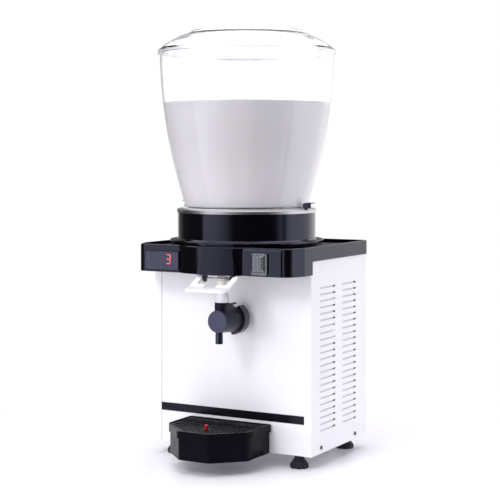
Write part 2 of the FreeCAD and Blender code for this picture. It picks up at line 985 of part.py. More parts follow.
def coil_tails():
    """Where the coil's inner and outer ends turn down, left of the axis."""
    outer = coil_start_radius + coil_pitch * coil_half_turns / 2
    return [Vector(axis.x - coil_start_radius, axis.y - coil_tail, coil_z()),
            Vector(axis.x - outer, axis.y + coil_tail, coil_z())]


def evaporator_coil():
    """Copper tube under the basin floor: a flat spiral of half turns with both ends turned down."""
    z = coil_z()
    inner, outer = coil_tails()
    start = Vector(axis.x - coil_start_radius, axis.y, z)
    edges = rounded_edges([inner - UP * coil_drop, inner, start], coil_bend, False)
    at = start
    for half_turn in range(coil_half_turns):
        radius = coil_start_radius + coil_pitch / 2 * half_turn
        side = 1 if half_turn % 2 == 0 else -1
        centre = at + ALONG_X * radius * side
        edges.append(Part.Arc(at, centre + ALONG_Y * radius * side,
                              centre + ALONG_X * radius * side).toShape())
        at = centre + ALONG_X * radius * side
    edges += rounded_edges([at, outer, outer - UP * coil_drop], coil_bend, False)
    print("evaporator coil, least gap between turns:", round(coil_pitch - 2 * coil_tube, 2), "mm")
    return sweep(edges, coil_tube)


def drum_insulation():
    """A foam sleeve between the basin's wall and the drum."""
    outer = drum_radius - drum_wall - part_gap
    return ring(outer, basin_radius + part_gap, deck_z + foam_lift, drum_top - part_gap)


# Bowl and lid
def bowl_arc(offset, z0, z1):
    """The bowl's side as one arc, moved inwards by an offset: radius and height of its middle and end."""
    middle_radius = (bowl_foot_radius + bowl_rim_radius) / 2 + bowl_bulge - offset
    return (middle_radius, (z0 + z1) / 2, bowl_rim_radius - offset, z1)


def bowl():
    low = bowl_bottom
    neck = low + bowl_lip_height
    high = bowl_top - bowl_bead_height
    outer = [(bowl_foot_radius - bowl_wall, low), (bowl_foot_radius + bowl_lip_reach, low),
             (bowl_foot_radius + bowl_lip_reach, neck), (bowl_foot_radius, neck), bowl_arc(0, neck, high),
             (bowl_rim_radius + bowl_bead, high + bowl_bead / 2), (bowl_rim_radius + bowl_bead, bowl_top),
             (bowl_rim_radius - bowl_wall, bowl_top), (bowl_rim_radius - bowl_wall, high)]
    middle = bowl_arc(bowl_wall, neck, high)
    back = (middle[0], middle[1], bowl_foot_radius - bowl_wall, neck)
    return turned(outer + [back])


def bowl_gasket():
    outer = bowl_foot_radius + bowl_lip_reach / 2
    return ring(outer, outer - gasket_width, ring_top, ring_top + gasket_thickness)


def lid():
    low = bowl_top - lid_skirt + lid_wall
    rim_top = low + lid_skirt
    seat = bowl_top
    slope_top = rim_top + lid_slope_rise
    disc = slope_top - lid_disc_drop
    inner_rim = lid_radius - lid_edge_wall
    lean = math.atan2(lid_slope_rise, lid_radius - lid_top_radius)
    middle_r = (lid_radius + lid_top_radius) / 2 + lid_slope_bulge
    middle_z = (rim_top + slope_top) / 2 + lid_slope_bulge
    ring_out = lid_top_radius
    ring_in = lid_top_radius - lid_ring_width
    crest = slope_top + lid_ring_height
    rib_out = bowl_rim_radius - bowl_wall - lid_rib_fit
    rib_in = rib_out - lid_wall
    under_r = middle_r - lid_wall * math.sin(lean)
    under_z = middle_z - lid_wall * math.cos(lean)
    step = ring_in + lid_wall
    return turned([(0, disc - lid_wall), (0, disc + gate_height), (gate_radius, disc + gate_height),
                   (gate_radius, disc), (ring_in, disc), (ring_in, crest - lid_ease),
                   (ring_in + lid_ease, crest), (ring_out - lid_ease, crest), (ring_out, crest - lid_ease),
                   (ring_out, slope_top), (middle_r, middle_z, lid_radius - lid_ease, rim_top),
                   (lid_radius, rim_top - lid_ease), (lid_radius, low),
                   (inner_rim, low), (inner_rim, seat), (rib_out, seat),
                   (rib_out, seat - lid_rib_height), (rib_in, seat - lid_rib_height),
                   (rib_in, seat + lid_wall / 2),
                   (under_r, under_z, step, slope_top - lid_wall), (step, disc - lid_wall)])


def clip_place(side):
    return Vector(side * clip_reach, axis.y, ring_top)


def clip_posts():
    posts = []
    for side in (-1, 1):
        spot = clip_place(side)
        post = rod(clip_post, spot, clip_height)
        foot_disc = rod(clip_post + clip_foot_rim, spot, clip_foot_height)
        posts.append(post.fuse(foot_disc).removeSplitter())
    return Part.Compound(posts)


def clip_tab(side):
    """A swing tab on its post; its round nose stops beside the bowl's lip."""
    spot = clip_place(side)
    low = ring_top + clip_foot_height + part_gap
    high = low + clip_pad_thickness
    x_in = spot.x - side * clip_nose
    x_out = spot.x + side * clip_pad_reach
    half = clip_pad_width / 2
    end = half - close_gap
    pad = prism([(x_in, spot.y - half), (x_out, spot.y - half), (x_out, spot.y + half),
                 (x_in, spot.y + half)], [clip_nose_corner, end, end, clip_nose_corner], low, high)
    lip_in = x_out - side * clip_lip
    lip_out = x_out + side * clip_lip
    lip = box(min(lip_in, lip_out), max(lip_in, lip_out), spot.y - half / 2, spot.y + half / 2, high,
              high + clip_lip_thickness)
    tab = join([pad, lip])
    return tab.cut(rod(clip_post + thread_clearance, spot, clip_height + 2 * past))


# Agitator, magnets and motor
def agitator():
    """A hub over the basin's dome, turning on a central pivot, with swept paddles and a hand knob."""
    low = basin_floor + basin_wall + agitator_gap
    inner = dome_radius + agitator_gap
    outer = inner + hub_wall
    under = dome_top + agitator_gap
    top = under + magnet_thickness + 2 * hub_wall
    crown = (outer - hub_ease_width, top)
    hub = turned([(inner, low), (outer, low), (outer, top - hub_ease_height),
                  eased(crown, (outer, top - hub_ease_height)) + crown, (0, top), (0, under),
                  (inner, under)])
    knob_top = top + knob_height
    tip = knob_radius - knob_taper
    knob = turned([(0, top - past), (knob_radius, top - past), (tip, knob_top - knob_ease),
                   (tip - knob_ease, knob_top), (0, knob_top)])
    blades = [blade(outer, low, turn * 360 / blade_count) for turn in range(blade_count)]
    whole = join([hub, knob] + blades)
    whole = whole.cut(rod(magnet_radius + part_gap, Vector(axis.x, axis.y, under - past),
                          magnet_thickness + past))
    low_pivot = dome_top + part_gap
    pivot = rod(pivot_radius, Vector(axis.x, axis.y, low_pivot),
                under + magnet_thickness + past - low_pivot)
    return whole.fuse(pivot).removeSplitter()


def blade(start, low, degrees):
    """A swept paddle: two arcs, a blade's thickness apart, from the hub to the blade's reach."""
    tip = agitator_reach
    half = blade_thickness / 2
    inner = Vector(axis.x + start - blade_root, axis.y, low)
    outer = Vector(axis.x + tip, axis.y, low)
    middle = (inner + outer) / 2
    across = ALONG_Y
    near = middle + across * (blade_sweep - half)
    far = middle + across * (blade_sweep + half)
    face_edges = [Part.Arc(inner - across * half, near, outer - across * half).toShape(),
                  Part.LineSegment(outer - across * half, outer + across * half).toShape(),
                  Part.Arc(outer + across * half, far, inner + across * half).toShape(),
                  Part.LineSegment(inner + across * half, inner - across * half).toShape()]
    solid = Part.Face(Part.Wire(face_edges)).extrude(UP * blade_height)
    solid.rotate(Vector(axis.x, axis.y, 0), UP, degrees)
    return solid


def driven_magnet():
    low = dome_top + agitator_gap
    return ring(magnet_radius, pivot_radius + part_gap, low, low + magnet_thickness)


def drive_magnet():
    high = dome_top - basin_wall - magnet_gap
    disc = rod(magnet_radius, Vector(axis.x, axis.y, high - magnet_thickness), magnet_thickness)
    cup_low = high - magnet_thickness - hub_wall
    cup = rod(magnet_radius + cup_rim, Vector(axis.x, axis.y, cup_low), hub_wall)
    boss_low = cup_low - drive_boss_height
    boss = rod(drive_boss_radius, Vector(axis.x, axis.y, boss_low), drive_boss_height)
    whole = join([disc, cup, boss])
    seat_low = boss_low - past
    seat = rod(motor_shaft_radius + thread_clearance, Vector(axis.x, axis.y, seat_low),
               shaft_top() + close_gap - seat_low)
    return whole.cut(seat)


def shaft_top():
    return dome_top - basin_wall - magnet_gap - magnet_thickness - shaft_end_wall


def shaft_low():
    return cabinet_top - sheet - post_height - shaft_depth


def motor_shaft():
    return rod(motor_shaft_radius, Vector(axis.x, axis.y, shaft_low()), shaft_top() - shaft_low())


def mixer_motor():
    """Gearbox on four posts under the top plate, with the motor can below it."""
    top = cabinet_top - sheet - post_height
    half = gearbox_width / 2
    half_y = gearbox_depth / 2
    gearbox = prism(rectangle(axis.x - half, axis.x + half, axis.y - half_y, axis.y + half_y),
                    gearbox_corner,
                    top - gearbox_height, top)
    can_low = Vector(axis.x + motor_offset, axis.y, motor_low)
    can = rod(motor_radius, can_low, motor_length + past)
    cap = rod(motor_cap_radius, can_low - UP * motor_cap_height, motor_cap_height + past)
    posts = [rod(post_radius, Vector(axis.x + sx * (half - post_inset), axis.y + sy * (half_y - post_inset),
                                     top - past), post_height + past)
             for sx in (-1, 1) for sy in (-1, 1)]
    whole = join([gearbox, can, cap] + posts)
    bore_low = shaft_low() - part_gap
    return whole.cut(rod(motor_shaft_radius + thread_clearance, Vector(axis.x, axis.y, bore_low),
                         top + past - bore_low))


# Hose fittings and tap
def tube_adapter():
    top = adapter_top
    low = top - adapter_height
    skirt = low + adapter_skirt
    centre = Vector(tap_x, tap_y, 0)
    bulge_r = (adapter_radius + adapter_neck) / 2 + adapter_bulge
    bore = hose_bore - part_gap - basin_wall
    plug = socket_bore - part_gap
    return turned([(bore, low - adapter_plug), (plug, low - adapter_plug), (plug, low),
                   (adapter_radius, low),
                   (adapter_radius, skirt), (bulge_r, low + adapter_bulge_height, adapter_neck, top),
                   (hose_radius + close_gap, top), (hose_radius + close_gap, hose_end_z),
                   (hose_bore - part_gap, hose_end_z),
                   (hose_bore - part_gap, top + adapter_spigot), (bore, top + adapter_spigot)], centre)


def tap_body():
    socket_top = adapter_top - adapter_height
    barrel = Part.makeCone(tap_face_radius, tap_rear_radius, tap_length,
                           Vector(tap_x, tap_face_y, tap_axis_z),
                           ALONG_Y)
    face_edge = [edge for edge in barrel.Edges
                 if abs(edge.BoundBox.YMax - tap_face_y) < SMALL and edge.Closed]
    barrel = barrel.makeFillet(face_fillet, face_edge)
    socket = rod(socket_radius, Vector(tap_x, tap_y, tap_axis_z), socket_top - tap_axis_z)
    nozzle_y = tap_y - nozzle_ahead
    nozzle_low = tap_axis_z - tap_face_radius - nozzle_length
    nozzle = rod(nozzle_radius, Vector(tap_x, nozzle_y, nozzle_low), nozzle_length + tap_face_radius)
    tip_edge = [edge for edge in nozzle.Edges if edge.BoundBox.ZMax < nozzle_low + SMALL and edge.Closed]
    nozzle = nozzle.makeFillet(nozzle_fillet, tip_edge)
    whole = join([barrel, socket, nozzle])
    bore = rod(core_radius + core_clearance, Vector(tap_x, tap_face_y + tap_end_wall, tap_axis_z),
               tap_length,
               ALONG_Y)
    inlet = rod(socket_bore, Vector(tap_x, tap_y, tap_axis_z + core_radius / 2), socket_top - tap_axis_z)
    outlet = rod(nozzle_bore, Vector(tap_x, nozzle_y, nozzle_low - past), nozzle_length + tap_face_radius)
    return whole.cut(bore).cut(inlet).cut(outlet)


def tap_core():
    """The plug that turns in the barrel. Its passage lies level, closed, and upright after a quarter turn."""
    start = tap_face_y + tap_end_wall + part_gap
    length = tap_rear_y + handle_web - start
    plug = rod(core_radius, Vector(tap_x, start, tap_axis_z), length, ALONG_Y)
    entry = Vector(tap_x - core_radius, tap_y, tap_axis_z)
    leave = Vector(tap_x + core_radius, tap_y - nozzle_ahead, tap_axis_z)
    along = leave - entry
    reach = along.Length
    along.normalize()
    passage = rod(core_passage, entry - along * core_passage, reach + 2 * core_passage, along)
    plug = plug.cut(passage)
    for y in seal_places():
        groove = rod(core_radius + past, Vector(tap_x, y - seal_section, tap_axis_z), 2 * seal_section,
                     ALONG_Y)
        groove = groove.cut(rod(core_radius - 2 * seal_section, Vector(tap_x, y - seal_section, tap_axis_z),
                                2 * seal_section, ALONG_Y))
        plug = plug.cut(groove)
    hole_y = tap_rear_y + handle_web - handle_screw_depth
    hole = rod(handle_screw_radius + thread_clearance, Vector(tap_x, hole_y, tap_axis_z),
               handle_screw_depth + past, ALONG_Y)
    return plug.cut(hole)


def seal_places():
    return [tap_y + core_passage + seal_after_passage, tap_rear_y - seal_before_rear]


def tap_seals():
    seals = []
    for y in seal_places():
        mid = core_radius - seal_section + core_clearance / 2
        seals.append(Part.makeTorus(mid, seal_section - core_clearance, Vector(tap_x, y, tap_axis_z),
                                    ALONG_Y))
    return Part.Compound(seals)


def tap_handle():
    """Two hollow lobes round a web, open to the rear, with notches between and one eye."""
    front = tap_rear_y + part_gap
    back = front + handle_depth
    centre = Vector(tap_x, front, tap_axis_z)
    disc = rod(handle_radius, centre, handle_depth, ALONG_Y)
    hollow = rod(handle_radius - handle_wall, centre + ALONG_Y * handle_web, handle_depth, ALONG_Y)
    spindle = rod(core_radius + handle_wall, centre, handle_depth, ALONG_Y)
    cup = disc.cut(hollow).fuse(spindle)
    cuts = []
    reach = handle_radius + handle_notch_out
    ahead = front - past
    through = handle_depth + 2 * past
    for lobe in range(handle_lobes):
        angle = math.radians(handle_turn + 360 / handle_lobes * lobe)
        spot = Vector(tap_x + reach * math.cos(angle), ahead, tap_axis_z + reach * math.sin(angle))
        cuts.append(rod(handle_notch, spot, through, ALONG_Y))
    cup = cup.cut(Part.Compound(cuts))
    eye_angle = math.radians(handle_turn - eye_before_notch)
    eye_reach = handle_radius - handle_wall - handle_eye - eye_edge
    eye = rod(handle_eye, Vector(tap_x + eye_reach * math.cos(eye_angle), ahead,
                                 tap_axis_z + eye_reach * math.sin(eye_angle)), through, ALONG_Y)
    cup = cup.cut(eye)
    seat = rod(core_radius + core_clearance, Vector(tap_x, ahead, tap_axis_z),
               handle_web + past - part_gap, ALONG_Y)
    cup = cup.cut(seat)
    hole = rod(handle_screw_radius + handle_screw_clearance, Vector(tap_x, front, tap_axis_z), through,
               ALONG_Y)
    return cup.cut(hole).removeSplitter()


def tap_screw():
    head_y = tap_rear_y + part_gap + handle_depth
    start = tap_rear_y + handle_web - handle_screw_depth + part_gap
    shank = rod(handle_screw_radius, Vector(tap_x, start, tap_axis_z), head_y - start, ALONG_Y)
    head = rod(handle_screw_head, Vector(tap_x, head_y, tap_axis_z), handle_screw_head_height, ALONG_Y)
    return shank.fuse(head).removeSplitter()


# White lever
def lever_pin_place():
    return Vector(tap_x, panel_y - lever_pin_back, skirt_bottom - lever_pin_drop)


def pinch_lever():
    """A bent frame round the hose: a flatter bar in front, arms rising to the pin behind."""
    pin = lever_pin_place()
    slope = math.tan(math.radians(lever_drop))
    front_y = panel_y - lever_front
    bend_y = front_y + lever_flat_depth
    rear_y_plate = pin.y - lever_boss
    top_rear = pin.z + lever_bridge_half
    top_bend = top_rear - (rear_y_plate - bend_y) * slope
    top_front = top_bend - lever_flat_depth * math.tan(math.radians(lever_flat_drop))
    thick = lever_thickness / math.cos(math.radians(lever_drop))
    outline = [(front_y, top_front), (bend_y, top_bend), (rear_y_plate, top_rear),
               (rear_y_plate, top_rear - thick), (bend_y, top_bend - thick),
               (front_y, top_front - lever_thickness)]
    half = lever_width / 2
    plate = side_prism(outline, [lever_ease, lever_boss, 0, 0, lever_boss, lever_ease], tap_x - half,
                       tap_x + half)
    plan = prism(rectangle(tap_x - half, tap_x + half, front_y, pin.y), [lever_corner, lever_corner, 0, 0],
                 top_front - lever_bar, top_rear + past)
    plate = plate.common(plan)
    inner = half - lever_arm
    opening_front = front_y + lever_bar
    below = top_front - 2 * thick
    opening = prism(rectangle(tap_x - inner, tap_x + inner, opening_front, pin.y + lever_bar),
                    lever_opening_corner, below, top_rear + past)
    notch = prism(rectangle(tap_x - lever_notch_width / 2, tap_x + lever_notch_width / 2,
                            opening_front - lever_notch_depth, opening_front + lever_bar),
                  lever_notch_corner, below, top_rear + past)
    plate = plate.cut(opening).cut(notch)
    arms = []
    for side in (-1, 1):
        x_out = tap_x + side * half
        x_in = tap_x + side * inner
        low_x = min(x_out, x_in)
        bridge_y = rear_y_plate - lever_bridge_reach
        bridge_z = top_rear - lever_bridge_reach * slope
        bridge = [(bridge_y, bridge_z), (rear_y_plate, top_rear), (pin.y, pin.z + lever_bridge_half),
                  (pin.y, pin.z - lever_bridge_half), (bridge_y, bridge_z - thick)]
        arm = side_prism(bridge, 0, low_x, low_x + lever_arm)
        boss = rod(lever_boss, Vector(low_x, pin.y, pin.z), lever_arm, ALONG_X)
        arms.append(arm.fuse(boss))
    whole = join([plate] + arms)
    bore = rod(lever_pin_radius + lever_pin_clearance, Vector(tap_x - half - past, pin.y, pin.z),
               lever_width + 2 * past, ALONG_X)
    return whole.cut(bore)


def lever_ears():
    """Two ears just inside the lever's arms, that hold its pin."""
    pin = lever_pin_place()
    inner = lever_width / 2 - lever_arm
    top = skirt_bottom + part_gap + underplate_thickness / 2
    ears = []
    for side in (-1, 1):
        x_near = tap_x + side * (inner - part_gap)
        x_far = x_near - side * ear_thickness
        low_x = min(x_near, x_far)
        half = ear_depth / 2
        under_skirt = skirt_bottom - part_gap
        outline = [(pin.y + ear_neck, under_skirt), (pin.y - half, under_skirt), (pin.y - half, pin.z),
                   (pin.y - half / 2, pin.z - half), (pin.y + half / 2, pin.z - half),
                   (pin.y + half, pin.z),
                   (pin.y + half, top), (pin.y + ear_neck, top)]
        ear = side_prism(outline, 0, low_x, low_x + ear_thickness)
        bore = rod(lever_pin_radius, Vector(low_x - past, pin.y, pin.z), ear_thickness + 2 * past, ALONG_X)
        ears.append(ear.cut(bore))
    return ears


def lever_pin():
    pin = lever_pin_place()
    half = lever_width / 2
    return rod(lever_pin_radius, Vector(tap_x - half, pin.y, pin.z), lever_width, ALONG_X)


def lever_spring():
    """Torsion spring round the pin between the ears: one helix of quarter turns."""
    pin = lever_pin_place()
    radius = lever_pin_radius + spring_wire + spring_clearance
    ear_face = tap_x + lever_width / 2 - lever_arm - ear_thickness - part_gap
    start_x = ear_face - spring_end_gap - spring_pitch * spring_turns
    steps = 8
    points = []
    for step in range(steps * spring_turns + 1):
        angle = 2 * math.pi / steps * step
        points.append(Vector(start_x + spring_pitch / steps * step, pin.y + radius * math.cos(angle),
                             pin.z + radius * math.sin(angle)))
    edges = [Part.Arc(points[k], points[k + 1], points[k + 2]).toShape()
             for k in range(0, steps * spring_turns, 2)]
    print("lever spring, least gap between curls:", round(spring_pitch - 2 * spring_wire, 2), "mm")
    return sweep(edges, spring_wire)


# Controller and switch
def controller_case():
    z = controller_z()
    half_w = controller_width / 2
    half_h = controller_height / 2
    face = front_prism(rectangle(controller_x - half_w, controller_x + half_w, z - half_h, z + half_h),
                       controller_corner, collar_front - controller_bezel, collar_front)
    body = box(controller_x - controller_body_width / 2, controller_x + controller_body_width / 2,
               collar_front - SMALL, collar_front + controller_body_depth,
               z - controller_body_height / 2, z + controller_body_height / 2)
    seat = front_prism(rectangle(controller_x - half_w + window_inset, controller_x + half_w - window_inset,
                                 z - half_h + window_inset, z + half_h - window_inset),
                       controller_corner - window_inset, collar_front - controller_bezel - past,
                       collar_front - controller_bezel / 2)
    return join([face, body]).cut(seat)


def controller_window():
    z = controller_z()
    half_w = controller_width / 2 - window_inset
    half_h = controller_height / 2 - window_inset
    return front_prism(rectangle(controller_x - half_w, controller_x + half_w, z - half_h, z + half_h),
                       controller_corner - window_inset, collar_front - controller_bezel + part_gap,
                       collar_front - controller_bezel / 2)


def switch_frame():
    z = switch_z()
    half_w = switch_width / 2
    half_h = switch_height / 2
    face = front_prism(rectangle(switch_x - half_w, switch_x + half_w, z - half_h, z + half_h),
                       switch_corner,
                       switch_seat - switch_bezel, switch_seat)
    body_w = half_w - switch_wall + switch_body_wall
    body_h = half_h - switch_wall + switch_body_wall
    body = box(switch_x - body_w, switch_x + body_w, switch_seat - SMALL, switch_seat + switch_body_depth,
               z - body_h, z + body_h)
    well = box(switch_x - half_w + switch_wall, switch_x + half_w - switch_wall,
               switch_seat - switch_bezel - past, switch_seat + switch_body_depth - switch_floor,
               z - half_h + switch_wall, z + half_h - switch_wall)
    pins = rod(rocker_pin, Vector(switch_x - half_w + rocker_pin_inset, rocker_axis_y(), z),
               switch_width - 2 * rocker_pin_inset, ALONG_X)
    return join([face, body]).cut(well).fuse(pins)


def rocker_axis_y():
    return switch_seat + rocker_axis_depth - switch_bezel


def switch_rocker():
    """A curved rocker on its pin, resting pressed at the top."""
    z = switch_z()
    half_w = switch_width / 2 - switch_wall - rocker_gap
    half_h = switch_height / 2 - switch_wall - rocker_gap - rocker_swing
    pin_y = rocker_axis_y()
    front = switch_seat - switch_bezel - rocker_proud
    rear = pin_y + rocker_back
    outline = [(front, z + half_h), (front, z - half_h), (rear, z - rocker_back_half),
               (rear, z + rocker_back_half)]
    block = side_prism(outline, 0, switch_x - half_w, switch_x + half_w)
    beside = switch_x - half_w - past
    across = 2 * half_w + 2 * past
    hollow = rod(rocker_hollow_radius, Vector(beside, front - rocker_hollow_radius + rocker_dip, z),
                 across, ALONG_X)
    block = block.cut(hollow)
    block.rotate(Vector(switch_x, pin_y, z), ALONG_X, rocker_tilt)
    bore = rod(rocker_pin + thread_clearance, Vector(beside, pin_y, z), across, ALONG_X)
    return block.cut(bore)


# Name strip
def name_strip():
    low = base_z + strip_bottom
    face = panel_y + panel_recess
    return box(-strip_half, strip_half, face - strip_thickness, face, low, low + strip_height)


# Drip tray
def tray_outline(inset, back_inset=0):
    back = panel_y - tray_back_gap - back_inset
    half = tray_width / 2 - inset
    shoulder = panel_y - tray_side
    nose = tray_nose / 2 - inset * math.tan(math.radians(tray_nose_turn / 2))
    front = panel_y - tray_reach + inset
    return [(-half, back), (-half, shoulder), (-nose, front), (nose, front), (half, shoulder), (half, back)]


def tray_radii(inset):
    shoulder = max(tray_shoulder_corner - inset, tray_wall)
    nose = max(tray_nose_corner - inset, tray_wall)
    return [tray_rear_corner, shoulder, nose, nose, shoulder, tray_rear_corner]


def drip_tray():
    low = base_z
    rim_low = tray_top - tray_rim_height
    upper = prism(tray_outline(0), tray_radii(0), rim_low, tray_top)
    lower = prism(tray_outline(tray_inset), tray_radii(tray_inset), low, rim_low + past)
    whole = upper.fuse(lower)
    ledge = tray_top - grille_recess - grille_thickness
    pocket = prism(tray_outline(tray_wall, tray_wall), tray_radii(tray_wall), ledge, tray_top + past)
    inner = tray_inset + tray_wall
    sump = prism(tray_outline(inner, inner), tray_radii(inner), low + tray_wall, ledge + past)
    whole = whole.cut(pocket).cut(sump)
    for side in (-1, 1):
        x = side * (tray_width / 2 - tray_inset)
        y = panel_y - tray_notch_back
        notch = box(x - tray_wall / 2, x + tray_wall / 2, y, y + tray_notch_length, low - past,
                    low + tray_notch_height)
        whole = whole.cut(notch)
        hole = rod(peg_radius + part_gap, Vector(side * peg_spacing / 2, panel_y - 2 * peg_length,
                                                 peg_height),
                   3 * peg_length, ALONG_Y)
        whole = whole.cut(hole)
    return whole.removeSplitter()


def drip_grille():
    ledge = tray_top - grille_recess - grille_thickness
    inset = tray_wall + part_gap
    plate = prism(tray_outline(inset, inset), tray_radii(inset), ledge + close_gap,
                  ledge + grille_thickness)
    slots = []
    border = inset + grille_border
    window = prism(tray_outline(border, inset + grille_rear_border), tray_radii(border), ledge - past,
                   tray_top + past)
    count = int((tray_width - 2 * border) / grille_bar_pitch)
    for number in range(count):
        x = (number - (count - 1) / 2) * grille_bar_pitch
        for start, stop in ((0, grille_cross_back), (grille_cross_back + grille_bar, tray_reach)):
            slots.append(box(x - grille_slot / 2, x + grille_slot / 2, panel_y - stop, panel_y - start,
                             ledge - past, tray_top))
    cuts = Part.Compound(slots).common(window)
    keep = rod(float_radius + grille_boss, Vector(0, panel_y - float_back, ledge + close_gap),
               grille_thickness - close_gap)
    plate = plate.cut(cuts).fuse(keep)
    hole = rod(float_radius + part_gap, Vector(0, panel_y - float_back, ledge - past),
               grille_thickness + 2 * past)
    return plate.cut(hole)


def tray_float():
    """A float on the sump floor whose pin comes up through the grille."""
    top = tray_top + float_stand
    low = base_z + tray_wall + part_gap
    stem = rod(float_radius, Vector(0, panel_y - float_back, low), top - low)
    head = [edge for edge in stem.Edges if edge.BoundBox.ZMin > top - SMALL and edge.Closed]
    stem = stem.makeFillet(float_ease, head)
    disc = rod(float_disc, Vector(0, panel_y - float_back, low), float_height)
    return stem.fuse(disc).removeSplitter()


# Cooling set
def compressor_place():
    return Vector(compressor_x, panel_y + compressor_back, base_z + base_thickness + mount_height)


def compressor():
    spot = compressor_place()
    low = spot.z
    plate_top = low + compressor_plate
    seam = plate_top + compressor_seam
    seam_top = seam + compressor_seam_height
    wide = compressor_radius + compressor_seam_reach
    top = low + compressor_height
    base = (compressor_base, plate_top)
    wall = (compressor_radius, plate_top + compressor_curve)
    shoulder = (compressor_radius, top - compressor_crown)
    crown = (compressor_flat, top)
    shell = turned([(0, plate_top), base, eased(base, wall) + wall, (compressor_radius, seam), (wide, seam),
                    (wide, seam_top), (compressor_radius, seam_top), shoulder,
                    eased(crown, shoulder) + crown,
                    (0, top)], spot)
    half = compressor_plate_half
    plate = box(spot.x - half, spot.x + half, spot.y - half, spot.y + half, low, plate_top)
    return shell.fuse(plate).removeSplitter()


def compressor_mounts():
    spot = compressor_place()
    mounts = []
    for sx in (-1, 1):
        for sy in (-1, 1):
            centre = Vector(spot.x + sx * mount_reach, spot.y + sy * mount_reach, base_z + base_thickness)
            mounts.append(turned([(0, centre.z), (mount_radius, centre.z),
                                  (mount_radius, centre.z + mount_low_lip),
                                  (mount_waist, centre.z + mount_height / 2),
                                  (mount_radius, spot.z - mount_high_lip),
                                  (mount_radius, spot.z), (0, spot.z)], centre))
    return Part.Compound(mounts)


def terminal_box():
    spot = compressor_place()
    x = spot.x + compressor_radius + part_gap + terminal_gap
    low = spot.z + terminal_rise
    return prism(rectangle(x, x + terminal_depth, spot.y - terminal_half, spot.y + terminal_half),
                 terminal_corner, low, low + terminal_height)


def condenser_box():
    right = half_body - sheet - condenser_gap
    left = right - condenser_thickness
    front = panel_y + condenser_front
    low = base_z + base_thickness
    return left, right, front, front + condenser_depth, low, low + condenser_height


def condenser_rows_z():
    _, _, _, _, low, high = condenser_box()
    step = (high - low) / condenser_rows
    return [low + step * (k + 0.5) for k in range(condenser_rows)]


def condenser_fins():
    left, right, front, back, low, high = condenser_box()
    block = box(left, right, front, back, low, high)
    slots = []
    middle = (left + right) / 2
    pitch = fin_gap + fin_thickness
    count = int((back - front - fin_thickness) / pitch)
    for number in range(count):
        y = front + fin_thickness + number * pitch
        slots.append(box(left - past, middle - fin_spine / 2, y, y + fin_gap, low - past, high + past))
        slots.append(box(middle + fin_spine / 2, right + past, y, y + fin_gap, low - past, high + past))
    block = block.cut(Part.Compound(slots))
    bores = [rod(condenser_tube, Vector(middle, front - past, z), back - front + 2 * past, ALONG_Y)
             for z in condenser_rows_z()]
    return block.cut(Part.Compound(bores))


def condenser_tubes():
    """One run to and fro through the fins, with a half round bend at each end."""
    left, right, front, back, low, high = condenser_box()
    middle = (left + right) / 2
    rows = condenser_rows_z()
    near = front - condenser_overhang
    far = back + condenser_overhang
    edges = []
    for number, z in enumerate(rows):
        a, b = (near, far) if number % 2 == 0 else (far, near)
        edges.append(Part.LineSegment(Vector(middle, a, z), Vector(middle, b, z)).toShape())
        if number < len(rows) - 1:
            step = rows[number + 1] - z
            bow = step / 2 if b == far else -step / 2
            edges.append(Part.Arc(Vector(middle, b, z), Vector(middle, b + bow, z + step / 2),
                                  Vector(middle, b, z + step)).toShape())
    return sweep(edges, condenser_tube - SMALL)


def fan_place():
    left, right, front, back, low, high = condenser_box()
    return Vector(left - fan_clearance, (front + back) / 2, (low + high) / 2)


def guard_x():
    """The rear face of the fan's guard, which its motor is fixed to."""
    return fan_place().x - fan_depth - shroud_behind - shroud_wall


def fan_shroud():
    spot = fan_place()
    left, right, front, back, low, high = condenser_box()
    rear = Vector(guard_x(), spot.y, spot.z)
    mouth = fan_radius + fan_clearance
    outer = mouth + shroud_lip
    depth = spot.x - rear.x
    plate = box(spot.x + shroud_ahead - shroud_wall, spot.x + shroud_ahead, front, back, low, high)
    tunnel = rod(outer, rear, depth, ALONG_X)
    whole = plate.fuse(tunnel)
    whole = whole.cut(rod(mouth, rear - ALONG_X * past, depth + shroud_ahead + 2 * past, ALONG_X))
    arms = []
    for number in range(guard_arms):
        arm = box(rear.x, rear.x + shroud_wall, spot.y - guard_arm_half, spot.y + guard_arm_half,
                  spot.z, spot.z + mouth + shroud_lip / 2)
        arm.rotate(spot, ALONG_X, 360 / guard_arms * number)
        arms.append(arm)
    seat = rod(guard_seat_radius, rear, shroud_wall, ALONG_X)
    guard = join(arms + [seat])
    guard = guard.cut(rod(fan_shaft + guard_shaft_gap, rear - ALONG_X * past, shroud_wall + 2 * past,
                          ALONG_X))
    return join([whole, guard])


def fan_motor():
    spot = fan_place()
    face = Vector(guard_x(), spot.y, spot.z)
    can = rod(fan_motor_radius, face - ALONG_X * fan_motor_length, fan_motor_length, ALONG_X)
    edges = [edge for edge in can.Edges if edge.Closed]
    can = can.makeFillet(fan_motor_ease, edges)
    bore = fan_shaft_depth + fan_shaft_end_gap
    return can.cut(rod(fan_shaft + thread_clearance, face - ALONG_X * bore, bore + past, ALONG_X))


def fan_blade():
    spot = fan_place()
    rear = Vector(spot.x - fan_depth, spot.y, spot.z)
    length = fan_depth - fan_front_gap
    hub = rod(fan_hub, rear, length, ALONG_X)
    shaft_end = Vector(guard_x() - fan_shaft_depth, spot.y, spot.z)
    shaft = rod(fan_shaft, shaft_end, rear.x + past - shaft_end.x, ALONG_X)
    half = fan_vane_thickness / 2
    blades = []
    for k in range(fan_blades):
        vane = box(-fan_vane_width / 2, fan_vane_width / 2, -half, half, fan_hub - fan_vane_root,
                   fan_radius)
        vane.rotate(Vector(0, 0, 0), UP, fan_pitch)
        vane.translate(rear + ALONG_X * length / 2)
        vane.rotate(spot, ALONG_X, 360 / fan_blades * k)
        blades.append(vane)
    bound = rod(fan_radius, rear, length, ALONG_X)
    vanes = [vane.common(bound) for vane in blades]
    return join([hub, shaft] + vanes)


